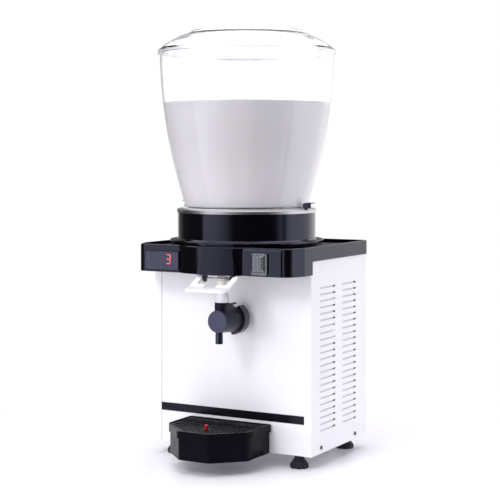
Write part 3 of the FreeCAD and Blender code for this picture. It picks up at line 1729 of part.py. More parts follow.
def filter_drier():
    spot = drier_place()
    low = spot.z
    top = low + drier_length
    return turned([(0, low), (condenser_tube, low), (condenser_tube, low + drier_neck),
                   (drier_radius, low + drier_shoulder), (drier_radius, top - drier_shoulder),
                   (condenser_tube, top - drier_neck), (condenser_tube, top), (0, top)], spot)


def drier_place():
    return Vector(drier_x, panel_y + drier_back, base_z + drier_bottom)


def condenser_end(row):
    """The front end of one of the condenser's rows."""
    left, right, front, back, low, high = condenser_box()
    return Vector((left + right) / 2, front - condenser_overhang, condenser_rows_z()[row])


def discharge_pipe():
    """Hot gas from the compressor's front up and across to the condenser's top row."""
    spot = compressor_place()
    run = panel_y + pipe_run_back
    end = condenser_end(-1)
    start = Vector(spot.x, spot.y - compressor_radius - close_gap, spot.z + discharge_height)
    rise = Vector(start.x + end.z - start.z, run, end.z)
    return tube([start, Vector(start.x, run, start.z), rise, Vector(end.x, run, end.z), end], pipe_bend,
                pipe_radius)


def liquid_pipe():
    """From the condenser's bottom row to the drier."""
    spot = drier_place()
    end = condenser_end(0)
    run = panel_y + pipe_run_back
    return tube([end, Vector(end.x, run, end.z), Vector(spot.x, run, end.z),
                 Vector(spot.x, spot.y, end.z), spot],
                liquid_bend, pipe_radius)


def suction_pipe():
    """From the coil's outer end down to the compressor's crown."""
    spot = compressor_place()
    tail = coil_tails()[1]
    start = Vector(spot.x - suction_inset, spot.y, spot.z + compressor_height)
    high = start.z + suction_rise
    end = tail - UP * coil_drop
    return tube([start, Vector(start.x, start.y, high), Vector(end.x, end.y, high + suction_lean), end],
                riser_bend, pipe_radius)


def capillary_pipe():
    """Thin line from the drier's top to the coil's inner end."""
    spot = drier_place()
    tail = coil_tails()[0]
    end = tail - UP * coil_drop
    top = Vector(spot.x, spot.y, spot.z + drier_length)
    high = motor_low - capillary_under_motor - motor_cap_height
    return tube([top, Vector(top.x, top.y, high - capillary_lean), Vector(end.x, end.y, high), end],
                riser_bend, capillary_radius)


def power_inlet():
    flange_w = inlet_width / 2 + inlet_flange
    flange_h = inlet_height / 2 + inlet_flange_low
    flange = front_prism(rectangle(inlet_x - flange_w, inlet_x + flange_w, inlet_z - flange_h,
                                   inlet_z + flange_h),
                         inlet_corner, rear_y, rear_y + inlet_proud)
    half_w = inlet_width / 2 - part_gap
    half_h = inlet_height / 2 - part_gap
    body = box(inlet_x - half_w, inlet_x + half_w, rear_y - inlet_depth, rear_y + SMALL,
               inlet_z - half_h, inlet_z + half_h)
    floor = rear_y + inlet_proud - inlet_plug_depth
    well = front_prism(rectangle(inlet_x - inlet_plug_width / 2, inlet_x + inlet_plug_width / 2,
                                 inlet_z - inlet_plug_height / 2, inlet_z + inlet_plug_height / 2),
                       [0, 0, inlet_plug_corner, inlet_plug_corner], floor, rear_y + inlet_proud + past)
    shell = join([flange, body]).cut(well)
    blades = []
    for side in (-1, 0, 1):
        x = inlet_x + side * inlet_pin_spacing
        z = inlet_z - inlet_pin_down if side else inlet_z + inlet_pin_up
        blades.append(box(x - inlet_pin / 2, x + inlet_pin / 2, floor - past,
                          rear_y + inlet_proud - inlet_pin_recess,
                          z - inlet_pin_half_height, z + inlet_pin_half_height))
    return join([shell] + blades)


def cabinet_screws():
    """Four low screws in the cabinet's sides and six that hold the back panel."""
    screws = []
    for side in (-1, 1):
        for start in side_screw_starts(side):
            screws.append(screw(start, ALONG_X * side))
    for start in rear_screw_starts():
        screws.append(screw(start, ALONG_Y))
    return Part.Compound(screws)


def screw(start, outward):
    head = rod(screw_head, start, screw_head_height, outward)
    shank = rod(screw_shank, start, screw_length, outward * -1)
    return head.fuse(shank).removeSplitter()


NODES = {
    "front_panel": front_panel,
    "back_panel": back_panel,
    "base_plate": base_plate,
    "top_plate": top_plate,
    "collar": collar,
    "collar_underplate": underplate,
    "drum_shell": drum_shell,
    "drum_insulation": drum_insulation,
    "evaporator_basin": evaporator,
    "evaporator_coil": evaporator_coil,
    "outlet_hose": outlet_hose,
    "bowl": bowl,
    "bowl_gasket": bowl_gasket,
    "lid": lid,
    "clip_posts": clip_posts,
    "agitator": agitator,
    "driven_magnet": driven_magnet,
    "drive_magnet": drive_magnet,
    "motor_shaft": motor_shaft,
    "mixer_motor": mixer_motor,
    "hose_adapter": tube_adapter,
    "tap_body": tap_body,
    "tap_core": tap_core,
    "tap_seals": tap_seals,
    "tap_handle": tap_handle,
    "tap_screw": tap_screw,
    "pinch_lever": pinch_lever,
    "lever_pin": lever_pin,
    "lever_spring": lever_spring,
    "controller_case": controller_case,
    "controller_window": controller_window,
    "switch_frame": switch_frame,
    "switch_rocker": switch_rocker,
    "name_strip": name_strip,
    "drip_tray": drip_tray,
    "drip_grille": drip_grille,
    "tray_float": tray_float,
    "compressor": compressor,
    "compressor_mounts": compressor_mounts,
    "terminal_box": terminal_box,
    "condenser_fins": condenser_fins,
    "condenser_tubes": condenser_tubes,
    "fan_shroud": fan_shroud,
    "fan_motor": fan_motor,
    "fan_blade": fan_blade,
    "filter_drier": filter_drier,
    "discharge_pipe": discharge_pipe,
    "suction_pipe": suction_pipe,
    "liquid_pipe": liquid_pipe,
    "capillary_pipe": capillary_pipe,
    "power_inlet": power_inlet,
    "cabinet_screws": cabinet_screws,
}

os.makedirs("parts", exist_ok=True)
for node, maker in NODES.items():
    export(maker(), node)
right = side_panel()
export(right, "right_panel")
export(mirrored(right), "left_panel")
export(clip_tab(1), "clip_tab_right")
export(clip_tab(-1), "clip_tab_left")
for name, (x, y) in zip(("front_left", "front_right", "rear_left", "rear_right"), foot_places()):
    export(foot(x, y), "foot_" + name)
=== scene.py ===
import json
import math
import bmesh
import bpy
import numpy as np
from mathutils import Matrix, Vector


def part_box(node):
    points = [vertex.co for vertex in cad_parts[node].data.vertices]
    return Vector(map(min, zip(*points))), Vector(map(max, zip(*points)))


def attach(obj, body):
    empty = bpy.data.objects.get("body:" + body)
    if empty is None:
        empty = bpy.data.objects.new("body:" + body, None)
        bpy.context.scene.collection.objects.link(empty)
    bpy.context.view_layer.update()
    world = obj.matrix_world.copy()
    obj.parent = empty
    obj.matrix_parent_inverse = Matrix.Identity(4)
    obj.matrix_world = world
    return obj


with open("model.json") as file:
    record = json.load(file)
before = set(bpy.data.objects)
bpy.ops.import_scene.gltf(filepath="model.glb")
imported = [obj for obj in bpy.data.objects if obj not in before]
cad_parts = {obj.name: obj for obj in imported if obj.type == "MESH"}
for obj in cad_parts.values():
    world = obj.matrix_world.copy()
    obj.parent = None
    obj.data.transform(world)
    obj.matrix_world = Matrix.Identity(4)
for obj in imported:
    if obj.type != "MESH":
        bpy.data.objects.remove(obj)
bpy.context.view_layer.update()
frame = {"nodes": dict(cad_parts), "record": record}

nodes = frame["nodes"]
scene = bpy.context.scene

# camera

cameraPlace = {"right": 1.0822, "back": -1.9105, "height": 0.490, "turn": 29.3, "lens": 96.48, "shift": -0.186,
               "sensor": 36.0, "near": 0.05, "far": 60.0}


def placeCamera(place):
    data = bpy.data.cameras.new("viewCamera")
    data.sensor_width = place["sensor"]
    data.lens = place["lens"]
    data.shift_y = place["shift"]
    data.clip_start, data.clip_end = place["near"], place["far"]
    camera = bpy.data.objects.new("viewCamera", data)
    camera.location = (place["right"], place["back"], place["height"])
    camera.rotation_euler = (math.radians(90.0), 0.0, math.radians(place["turn"]))
    scene.collection.objects.link(camera)
    scene.camera = camera


placeCamera(cameraPlace)
scene.view_settings.view_transform = "Standard"
print("camera placed")

# surfaces


def gridSurface(name, points, aroundRows=False, aroundColumns=False):
    # points[i, j] is the place for the i-th and j-th value of the two parameters; four neighbours make a face
    rows, columns = points.shape[:2]
    index = np.arange(rows * columns).reshape(rows, columns)
    if aroundRows:
        index = np.vstack([index, index[:1]])
    if aroundColumns:
        index = np.hstack([index, index[:, :1]])
    faces = np.stack([index[:-1, :-1], index[1:, :-1], index[1:, 1:], index[:-1, 1:]], axis=-1).reshape(-1, 4)
    mesh = bpy.data.meshes.new(name)
    mesh.from_pydata(points.reshape(-1, 3), [], faces)
    mesh.update()
    piece = bpy.data.objects.new(name, mesh)
    scene.collection.objects.link(piece)
    return piece


def closePoles(piece):
    # points that fall together at a pole or a seam become one, and the faces look outwards again
    work = bmesh.new()
    work.from_mesh(piece.data)
    bmesh.ops.remove_doubles(work, verts=work.verts, dist=1e-7)
    bmesh.ops.dissolve_degenerate(work, edges=work.edges, dist=1e-8)
    bmesh.ops.recalc_face_normals(work, faces=work.faces)
    work.to_mesh(piece.data)
    work.free()
    piece.data.shade_smooth()


def turnedSurface(name, profile, centre, steps=144):
    # every (radius, height) of the profile goes once round the upright axis through centre
    radius, height = profile[:, 0], profile[:, 1]
    angle = np.linspace(0.0, 2.0 * np.pi, steps, endpoint=False)
    across = centre[0] + radius[:, None] * np.cos(angle)
    along = centre[1] + radius[:, None] * np.sin(angle)
    up = np.repeat(height[:, None], steps, axis=1)
    piece = gridSurface(name, np.stack([across, along, up], axis=-1), aroundColumns=True)
    closePoles(piece)
    return piece


# node helpers


def addNode(tree, kind, **values):
    node = tree.nodes.new(kind)
    for key, value in values.items():
        if key in node.inputs:
            node.inputs[key].default_value = value
        else:
            setattr(node, key, value)
    return node


def newGroup(name, inputs, outputs):
    tree = bpy.data.node_groups.new(name, "ShaderNodeTree")
    for label, kind, value in inputs:
        socket = tree.interface.new_socket(name=label, in_out="INPUT", socket_type=kind)
        socket.default_value = value
    for label, kind in outputs:
        tree.interface.new_socket(name=label, in_out="OUTPUT", socket_type=kind)
    return tree, tree.nodes.new("NodeGroupInput"), tree.nodes.new("NodeGroupOutput")


number, place3 = "NodeSocketFloat", "NodeSocketVector"


def noiseAt(tree, vector, size, detail=2.0, roughness=0.5):
    noise = tree.nodes.new("ShaderNodeTexNoise")
    noise.inputs["Detail"].default_value = detail
    noise.inputs["Roughness"].default_value = roughness
    tree.links.new(vector, noise.inputs["Vector"])
    if isinstance(size, (int, float)):
        noise.inputs["Scale"].default_value = size
    else:
        tree.links.new(size, noise.inputs["Scale"])
    return noise.outputs["Fac"]


def stepBetween(tree, value, low, high, outLow=0.0, outHigh=1.0):
    # a smooth step from outLow to outHigh while value goes from low to high
    ramp = tree.nodes.new("ShaderNodeMapRange")
    ramp.interpolation_type = "SMOOTHSTEP"
    tree.links.new(value, ramp.inputs["Value"])
    for label, given in (("From Min", low), ("From Max", high), ("To Min", outLow), ("To Max", outHigh)):
        if isinstance(given, (int, float)):
            ramp.inputs[label].default_value = given
        else:
            tree.links.new(given, ramp.inputs[label])
    return ramp.outputs["Result"]


def combine(tree, operation, first, second, clamp=False):
    node = tree.nodes.new("ShaderNodeMath")
    node.operation = operation
    node.use_clamp = clamp
    for slotIndex, given in ((0, first), (1, second)):
        if isinstance(given, (int, float)):
            node.inputs[slotIndex].default_value = given
        else:
            tree.links.new(given, node.inputs[slotIndex])
    return node.outputs[0]


def mixColours(tree, amount, first, second):
    mix = tree.nodes.new("ShaderNodeMix")
    mix.data_type = "RGBA"
    for socket, given in ((mix.inputs[0], amount), (mix.inputs[6], first), (mix.inputs[7], second)):
        if isinstance(given, (int, float)):
            socket.default_value = given
        elif isinstance(given, tuple):
            socket.default_value = (*given, 1.0)
        else:
            tree.links.new(given, socket)
    return mix.outputs[2]


def objectPlace(tree):
    return tree.nodes.new("ShaderNodeTexCoord").outputs["Object"]


def splitPlace(tree):
    split = tree.nodes.new("ShaderNodeSeparateXYZ")
    tree.links.new(objectPlace(tree), split.inputs[0])
    return split.outputs


def newMaterial(name):
    material = bpy.data.materials.new(name)
    material.use_nodes = True
    return material, material.node_tree, material.node_tree.nodes["Principled BSDF"]


def recolour(tree, shader, amount, colour):
    # the base colour so far gives way to colour as amount goes from 0 to 1
    soFar = shader.inputs["Base Color"].links[0].from_socket
    tree.links.new(mixColours(tree, amount, soFar, colour), shader.inputs["Base Color"])


def upwardPart(tree):
    facing = tree.nodes.new("ShaderNodeSeparateXYZ")
    tree.links.new(tree.nodes.new("ShaderNodeNewGeometry").outputs["Normal"], facing.inputs[0])
    return facing.outputs[2]


# shared effects

# noise sizes are waves per metre, and each pair of edges is where a mask starts and ends in the noise
effectLook = {"mottleEdges": (0.36, 0.64), "patchEdges": (0.42, 0.66), "streakEdges": (0.55, 0.75),
              "streakFiner": 6.0, "streakStretch": (5.0, 5.0, 0.6), "streakTurn": (0.35, 0.2, 0.0),
              "broadShare": 0.25, "lineEdges": (0.35, 0.65), "upwardEdges": (0.55, 1.0), "filmSize": 60.0,
              "filmEdges": (0.35, 0.75), "speckSize": 1400.0, "speckEdges": (0.70, 0.78)}


def makeMottle():
    # slow cloudy change of tone, as in a batch of plastic or paint
    tree, given, out = newGroup("softMottle", [("Size", number, 30.0)], [("Amount", number)])
    cloud = noiseAt(tree, objectPlace(tree), given.outputs["Size"], 3.0, 0.55)
    tree.links.new(stepBetween(tree, cloud, *effectLook["mottleEdges"]), out.inputs["Amount"])
    return tree


def makeHandling():
    # wiped and touched places: roughness goes from Clean to Touched in soft patches, with fine short streaks
    tree, given, out = newGroup(
        "handledSkin",
        [("Size", number, 22.0), ("Clean", number, 0.3), ("Touched", number, 0.45), ("Streaks", number, 0.3)],
        [("Roughness", number)])
    where = objectPlace(tree)
    stretch = tree.nodes.new("ShaderNodeMapping")
    stretch.inputs["Scale"].default_value = effectLook["streakStretch"]
    stretch.inputs["Rotation"].default_value = effectLook["streakTurn"]
    tree.links.new(where, stretch.inputs["Vector"])
    cloud = noiseAt(tree, where, given.outputs["Size"], 4.0, 0.6)
    patches = stepBetween(tree, cloud, *effectLook["patchEdges"])
    streakSize = combine(tree, "MULTIPLY", given.outputs["Size"], effectLook["streakFiner"])
    streaks = noiseAt(tree, stretch.outputs[0], streakSize, 2.0, 0.5)
    lines = stepBetween(tree, streaks, *effectLook["streakEdges"])
    marks = combine(tree, "MAXIMUM", patches, combine(tree, "MULTIPLY", lines, given.outputs["Streaks"]))
    span = combine(tree, "SUBTRACT", given.outputs["Touched"], given.outputs["Clean"])
    result = combine(tree, "ADD", given.outputs["Clean"], combine(tree, "MULTIPLY", marks, span))
    tree.links.new(result, out.inputs["Roughness"])
    return tree


def makeGrain():
    # fine height: the skin of a moulding or the ripple of powder paint
    tree, given, out = newGroup("fineGrain", [("Size", number, 900.0), ("Ripple", number, 0.5)],
                                [("Height", number)])
    where = objectPlace(tree)
    fine = noiseAt(tree, where, given.outputs["Size"], 2.0, 0.6)
    broadSize = combine(tree, "MULTIPLY", given.outputs["Size"], effectLook["broadShare"])
    broad = noiseAt(tree, where, broadSize, 1.0, 0.5)
    rippled = combine(tree, "MULTIPLY", broad, given.outputs["Ripple"])
    tree.links.new(combine(tree, "ADD", fine, rippled), out.inputs["Height"])
    return tree


def makeBrushed():
    # drawn lines: noise pulled long by Stretch, for turned, drawn and brushed metal
    tree, given, out = newGroup("drawnLines", [("Stretch", place3, (900.0, 900.0, 12.0))],
                                [("Height", number), ("Amount", number)])
    multiply = tree.nodes.new("ShaderNodeVectorMath")
    multiply.operation = "MULTIPLY"
    tree.links.new(objectPlace(tree), multiply.inputs[0])
    tree.links.new(given.outputs["Stretch"], multiply.inputs[1])
    lines = noiseAt(tree, multiply.outputs[0], 1.0, 3.0, 0.6)
    tree.links.new(lines, out.inputs["Height"])
    tree.links.new(stepBetween(tree, lines, *effectLook["lineEdges"]), out.inputs["Amount"])
    return tree


def makeDust():
    # settled dust: specks and a thin film on faces that look up, and a little near the floor
    tree, given, out = newGroup("settledDust", [("Amount", number, 0.1), ("Low", number, 0.03)], [("Mask", number)])
    upward = stepBetween(tree, upwardPart(tree), *effectLook["upwardEdges"])
    height = splitPlace(tree)[2]
    nearFloor = stepBetween(tree, height, 0.0, given.outputs["Low"], 1.0, 0.0)
    where = objectPlace(tree)
    film = stepBetween(tree, noiseAt(tree, where, effectLook["filmSize"], 5.0, 0.7), *effectLook["filmEdges"])
    specks = noiseAt(tree, where, effectLook["speckSize"], 1.0, 0.5)
    specks = stepBetween(tree, specks, *effectLook["speckEdges"])
    settled = combine(tree, "MULTIPLY", combine(tree, "MAXIMUM", upward, nearFloor),
                      combine(tree, "ADD", film, specks, clamp=True))
    mask = combine(tree, "MULTIPLY", settled, given.outputs["Amount"], clamp=True)
    tree.links.new(mask, out.inputs["Mask"])
    return tree


effects = {"mottle": makeMottle(), "handling": makeHandling(), "grain": makeGrain(),
           "lines": makeBrushed(), "dust": makeDust()}


def useEffect(tree, name, **values):
    node = tree.nodes.new("ShaderNodeGroup")
    node.node_tree = effects[name]
    for key, value in values.items():
        node.inputs[key].default_value = value
    return node.outputs


print("shared effects built")

# finishes

finishDefaults = {"second": None, "mottle": 30.0, "rough": (0.30, 0.42), "touch": 22.0, "streaks": 0.3,
                  "grain": 900.0, "ripple": 0.5, "depth": 0.00002, "metal": 0.0, "coat": 0.0, "coatRough": 0.08,
                  "level": 0.5, "tint": (1.0, 1.0, 1.0), "dust": 0.0, "dustRough": 1.6, "lines": None,
                  "lineDepth": 0.00001, "ior": 1.5}
secondShare = 0.86
dustColour = (0.42, 0.41, 0.40)


def makeFinish(name, look):
    # one opaque finish: mottled colour under dust, handled roughness, fine height, and drawn lines on metal
    look = {**finishDefaults, **look}
    material, tree, shader = newMaterial(name)
    shader.inputs["Metallic"].default_value = look["metal"]
    shader.inputs["IOR"].default_value = look["ior"]
    shader.inputs["Specular IOR Level"].default_value = look["level"]
    shader.inputs["Specular Tint"].default_value = (*look["tint"], 1.0)
    if look["coat"]:
        shader.inputs["Coat Weight"].default_value = look["coat"]
        shader.inputs["Coat Roughness"].default_value = look["coatRough"]
    first = look["colour"]
    second = look["second"] or tuple(secondShare * c for c in first)
    mottle = useEffect(tree, "mottle", Size=look["mottle"])["Amount"]
    colour = mixColours(tree, mottle, first, second)
    if look["dust"]:
        dust = useEffect(tree, "dust", Amount=look["dust"])["Mask"]
        colour = mixColours(tree, dust, colour, dustColour)
    tree.links.new(colour, shader.inputs["Base Color"])
    skin = useEffect(tree, "handling", Size=look["touch"], Clean=look["rough"][0], Touched=look["rough"][1],
                     Streaks=look["streaks"])
    rough = skin["Roughness"]
    if look["dust"]:
        rough = combine(tree, "MAXIMUM", rough, combine(tree, "MULTIPLY", dust, look["dustRough"]))
    tree.links.new(rough, shader.inputs["Roughness"])
    grain = useEffect(tree, "grain", Size=look["grain"], Ripple=look["ripple"])["Height"]
    bump = addNode(tree, "ShaderNodeBump", Strength=1.0, Distance=look["depth"])
    tree.links.new(grain, bump.inputs["Height"])
    normal = bump.outputs[0]
    if look["lines"]:
        drawn = useEffect(tree, "lines", Stretch=look["lines"])
        second = addNode(tree, "ShaderNodeBump", Strength=1.0, Distance=look["lineDepth"])
        tree.links.new(drawn["Height"], second.inputs["Height"])
        tree.links.new(normal, second.inputs["Normal"])
        normal = second.outputs[0]
    tree.links.new(normal, shader.inputs["Normal"])
    return material


blackTint = (0.66, 0.67, 1.0)

finishes = {
    "white_sheet": {"colour": (0.895, 0.90, 0.935), "second": (0.885, 0.89, 0.926), "rough": (0.34, 0.44),
                    "grain": 1100.0, "ripple": 1.2, "depth": 0.00003, "dust": 0.05},
    "back_sheet": {"colour": (0.87, 0.88, 0.91), "second": (0.84, 0.85, 0.885), "rough": (0.36, 0.48),
                   "grain": 1100.0, "ripple": 1.2, "depth": 0.00003, "dust": 0.08},
    "galvanised": {"colour": (0.60, 0.62, 0.64), "second": (0.50, 0.52, 0.55), "mottle": 95.0,
                   "rough": (0.30, 0.50), "metal": 1.0, "grain": 300.0, "depth": 0.00002, "dust": 0.12},
    "black_matte": {"colour": (0.006, 0.006, 0.008), "second": (0.009, 0.009, 0.012), "rough": (0.34, 0.46),
                    "tint": blackTint, "level": 0.5, "grain": 1500.0, "depth": 0.00003, "dust": 0.04},
    "tray_black": {"colour": (0.0010, 0.0010, 0.0015), "second": (0.0018, 0.0018, 0.0026), "rough": (0.26, 0.36),
                   "tint": blackTint, "level": 0.09, "grain": 1800.0, "depth": 0.000015, "dust": 0.01},
    "tap_black": {"colour": (0.007, 0.007, 0.011), "second": (0.011, 0.011, 0.016), "rough": (0.32, 0.42),
                  "tint": blackTint, "level": 0.36, "grain": 1600.0, "depth": 0.00003, "mottle": 60.0},
    "foam": {"colour": (0.80, 0.72, 0.50), "second": (0.70, 0.61, 0.40), "rough": (0.85, 0.95), "mottle": 120.0,
             "grain": 500.0, "depth": 0.0004},
    "stainless": {"colour": (0.66, 0.66, 0.69), "second": (0.61, 0.61, 0.64), "metal": 1.0, "rough": (0.33, 0.40),
                  "lines": (40.0, 40.0, 1600.0), "lineDepth": 0.000006},
    "silicone": {"colour": (0.80, 0.74, 0.66), "second": (0.74, 0.68, 0.60), "rough": (0.38, 0.50), "grain": 700.0,
                 "mottle": 90.0},
    "gasket_white": {"colour": (0.80, 0.80, 0.82), "second": (0.74, 0.74, 0.76), "rough": (0.45, 0.6),
                     "grain": 800.0},
    "seal_rubber": {"colour": (0.010, 0.010, 0.011), "second": (0.016, 0.016, 0.017), "rough": (0.4, 0.55),
                    "grain": 1200.0, "depth": 0.00005},
    "white_plastic": {"colour": (0.93, 0.925, 0.95), "second": (0.91, 0.905, 0.93), "rough": (0.16, 0.26),
                      "grain": 1200.0, "depth": 0.000008, "mottle": 50.0},
    "switch_grey": {"colour": (0.030, 0.031, 0.042), "second": (0.022, 0.023, 0.034), "rough": (0.22, 0.32),
                    "tint": blackTint, "level": 0.6, "grain": 1500.0, "depth": 0.00001},
    "rocker_grey": {"colour": (0.070, 0.072, 0.090), "second": (0.055, 0.057, 0.074), "rough": (0.16, 0.26),
                    "tint": blackTint, "level": 0.6, "grain": 1500.0, "depth": 0.00001},
    "strip_black": {"colour": (0.003, 0.003, 0.0042), "second": (0.0045, 0.0045, 0.006), "rough": (0.20, 0.28),
                    "tint": blackTint, "level": 0.32, "grain": 700.0, "ripple": 2.0, "depth": 0.00001},
    "float_red": {"colour": (0.62, 0.012, 0.016), "second": (0.52, 0.008, 0.012), "rough": (0.12, 0.2),
                  "grain": 900.0, "depth": 0.000006, "mottle": 200.0},
    "copper": {"colour": (0.80, 0.42, 0.26), "second": (0.62, 0.30, 0.18), "metal": 1.0, "mottle": 70.0,
               "rough": (0.22, 0.40), "grain": 700.0, "lines": (700.0, 700.0, 60.0)},
    "alu_fins": {"colour": (0.80, 0.81, 0.82), "second": (0.68, 0.69, 0.71), "metal": 1.0, "rough": (0.30, 0.46),
                 "mottle": 80.0, "lines": (90.0, 1200.0, 90.0), "dust": 0.1},
    "comp_black": {"colour": (0.008, 0.008, 0.009), "second": (0.013, 0.013, 0.015), "rough": (0.14, 0.26),
                   "grain": 350.0, "ripple": 1.0, "depth": 0.00005, "dust": 0.1, "coat": 0.4},
    "motor_steel": {"colour": (0.60, 0.61, 0.63), "second": (0.48, 0.49, 0.51), "metal": 1.0, "rough": (0.24, 0.38),
                    "mottle": 150.0, "lines": (60.0, 60.0, 1500.0)},
    "magnet": {"colour": (0.10, 0.10, 0.11), "second": (0.14, 0.14, 0.15), "rough": (0.55, 0.7), "grain": 1400.0,
               "depth": 0.00006},
    "agitator_white": {"colour": (0.84, 0.84, 0.84), "second": (0.79, 0.79, 0.80), "rough": (0.32, 0.45),
                       "grain": 1000.0},
    "screw_black": {"colour": (0.016, 0.016, 0.019), "second": (0.05, 0.05, 0.055), "rough": (0.25, 0.40),
                    "mottle": 400.0, "grain": 1500.0, "coat": 0.3},
}

materials = {name: makeFinish(name, look) for name, look in finishes.items()}
print(len(materials), "plain finishes made")

# special finishes

mouldedBlack = {"gloss": (0.09, 0.14), "satin": 0.44, "bulgeMiddle": 0.0175, "bulgeLow": 0.306, "bulgeTop": 0.350,
                "bulgeHalfTop": 0.0255, "bulgeHalfLow": 0.0290, "bulgeFront": -0.1062, "edge": 0.0003,
                "frontEdge": 0.0004, "bulgeTone": (0.0045, 0.0045, 0.008), "upwardEdges": (0.90, 0.98)}


def makeCollarFinish(look):
    # gloss black moulding, with satin on its front bulge, known by its place, and on the faces that look up
    material = makeFinish("black_gloss", {
        "colour": (0.0010, 0.0009, 0.0018), "second": (0.0015, 0.0014, 0.0024), "rough": look["gloss"],
        "tint": blackTint, "level": 0.72, "grain": 1300.0, "ripple": 2.0, "depth": 0.000003, "dust": 0.008})
    tree = material.node_tree
    shader = tree.nodes["Principled BSDF"]
    x, y, z = splitPlace(tree)
    sideways = combine(tree, "ABSOLUTE", combine(tree, "SUBTRACT", x, look["bulgeMiddle"]), 0.0)
    halfWidth = stepBetween(tree, z, look["bulgeLow"], look["bulgeTop"], look["bulgeHalfLow"],
                            look["bulgeHalfTop"])
    past = combine(tree, "SUBTRACT", sideways, halfWidth)
    inside = stepBetween(tree, past, -look["edge"], look["edge"], 1.0, 0.0)
    front = stepBetween(tree, y, look["bulgeFront"] - look["frontEdge"], look["bulgeFront"], 1.0, 0.0)
    mask = combine(tree, "MULTIPLY", inside, front)
    recolour(tree, shader, mask, look["bulgeTone"])
    upward = stepBetween(tree, upwardPart(tree), *look["upwardEdges"])
    satin = combine(tree, "MAXIMUM", mask, upward)
    roughFrom = shader.inputs["Roughness"].links[0].from_socket
    span = combine(tree, "SUBTRACT", look["satin"], roughFrom)
    rough = combine(tree, "ADD", roughFrom, combine(tree, "MULTIPLY", satin, span))
    tree.links.new(rough, shader.inputs["Roughness"])
    return material


tapLook = {"faceFrom": -0.1186, "faceTo": -0.1190, "faceTone": (0.056, 0.057, 0.096)}


def lightenTapFace(material, look):
    # the tap's flat face is paler than its barrel: it is known by how far forward it lies
    tree = material.node_tree
    shader = tree.nodes["Principled BSDF"]
    onFace = stepBetween(tree, splitPlace(tree)[1], look["faceTo"], look["faceFrom"], 1.0, 0.0)
    recolour(tree, shader, onFace, look["faceTone"])


clearPlastic = {"colour": (0.975, 0.985, 1.0), "second": (0.975, 0.97, 1.0), "rough": (0.015, 0.05), "ior": 1.49,
                "mottle": 18.0, "touch": 14.0, "streaks": 0.4, "wave": 140.0, "ripple": 1.5, "depth": 0.00002,
                "shadow": (0.97, 0.975, 0.985)}


def makeClearFinish(name, look):
    # clear moulding: it lets light through to its shadow, and waves and wipe marks show only in its reflections
    material, tree, shader = newMaterial(name)
    out = tree.nodes["Material Output"]
    shader.inputs["Transmission Weight"].default_value = 1.0
    shader.inputs["IOR"].default_value = look["ior"]
    mottle = useEffect(tree, "mottle", Size=look["mottle"])["Amount"]
    tree.links.new(mixColours(tree, mottle, look["colour"], look["second"]), shader.inputs["Base Color"])
    skin = useEffect(tree, "handling", Size=look["touch"], Clean=look["rough"][0], Touched=look["rough"][1],
                     Streaks=look["streaks"])
    tree.links.new(skin["Roughness"], shader.inputs["Roughness"])
    grain = useEffect(tree, "grain", Size=look["wave"], Ripple=look["ripple"])["Height"]
    bump = addNode(tree, "ShaderNodeBump", Strength=1.0, Distance=look["depth"])
    tree.links.new(grain, bump.inputs["Height"])
    tree.links.new(bump.outputs[0], shader.inputs["Normal"])
    passing = addNode(tree, "ShaderNodeBsdfTransparent", Color=(*look["shadow"], 1.0))
    mixed = tree.nodes.new("ShaderNodeMixShader")
    tree.links.new(tree.nodes.new("ShaderNodeLightPath").outputs["Is Shadow Ray"], mixed.inputs[0])
    tree.links.new(shader.outputs[0], mixed.inputs[1])
    tree.links.new(passing.outputs[0], mixed.inputs[2])
    tree.links.new(mixed.outputs[0], out.inputs["Surface"])
    return material


screenLook = {"colour": (0.034, 0.034, 0.056), "second": (0.040, 0.040, 0.064), "rough": (0.20, 0.28),
              "tint": blackTint, "level": 0.6, "grain": 900.0, "depth": 0.000008, "mottle": 60.0}

materials["black_gloss"] = makeCollarFinish(mouldedBlack)
materials["clear"] = makeClearFinish("clear", clearPlastic)
lightenTapFace(materials["tap_black"], tapLook)
materials["adapter_clear"] = makeFinish("adapter_clear", {
    "colour": (0.76, 0.74, 0.79), "second": (0.70, 0.68, 0.74), "rough": (0.14, 0.24), "grain": 700.0,
    "depth": 0.00001, "mottle": 90.0})
materials["screen"] = makeFinish("screen", screenLook)
materials["handle_black"] = makeFinish("handle_black", {
    "colour": (0.010, 0.010, 0.013), "second": (0.016, 0.016, 0.020), "rough": (0.16, 0.26), "tint": blackTint,
    "level": 0.8, "grain": 900.0, "depth": 0.000012, "mottle": 70.0})


def makeSheetWithLouvreShade(name, look, recess):
    # the white sheet, with painted shade on the pressed-in louvre strips: they lie deeper than the face, and their
    # grey tone stands in for the shade that falls in them
    material = makeFinish(name, look)
    tree = material.node_tree
    shader = tree.nodes["Principled BSDF"]
    x, y, z = splitPlace(tree)
    outside = stepBetween(tree, combine(tree, "ABSOLUTE", x, 0.0), *recess["depths"])
    outside = combine(tree, "MAXIMUM", outside, stepBetween(tree, y, *recess["starts"], 1.0, 0.0))
    colourFrom = shader.inputs["Base Color"].links[0].from_socket
    # where outside falls to 0 the strips take the grey tone: painted shade for the shadow inside each louvre
    tree.links.new(mixColours(tree, outside, recess["tone"], colourFrom), shader.inputs["Base Color"])
    return material


# painted shade: the tone here is the grey put on the recessed louvre strips in place of the shadow in them
louvrePaintedShade = {"depths": (0.14455, 0.14485), "starts": (-0.030, -0.028), "tone": (0.58, 0.59, 0.64)}
materials["louvre_shaded_sheet"] = makeSheetWithLouvreShade("louvre_shaded_sheet", finishes["white_sheet"], louvrePaintedShade)

slotOf = {row["node"]: row["material_slot"] for row in frame["record"]["subparts"]}
slotOf.update({"tap_handle": "handle_black", "left_panel": "louvre_shaded_sheet", "right_panel": "louvre_shaded_sheet"})
for nodeName, node in nodes.items():
    for place in node.material_slots:
        place.material = materials[slotOf[nodeName]]
print("finishes on", len(nodes), "nodes")

# drink

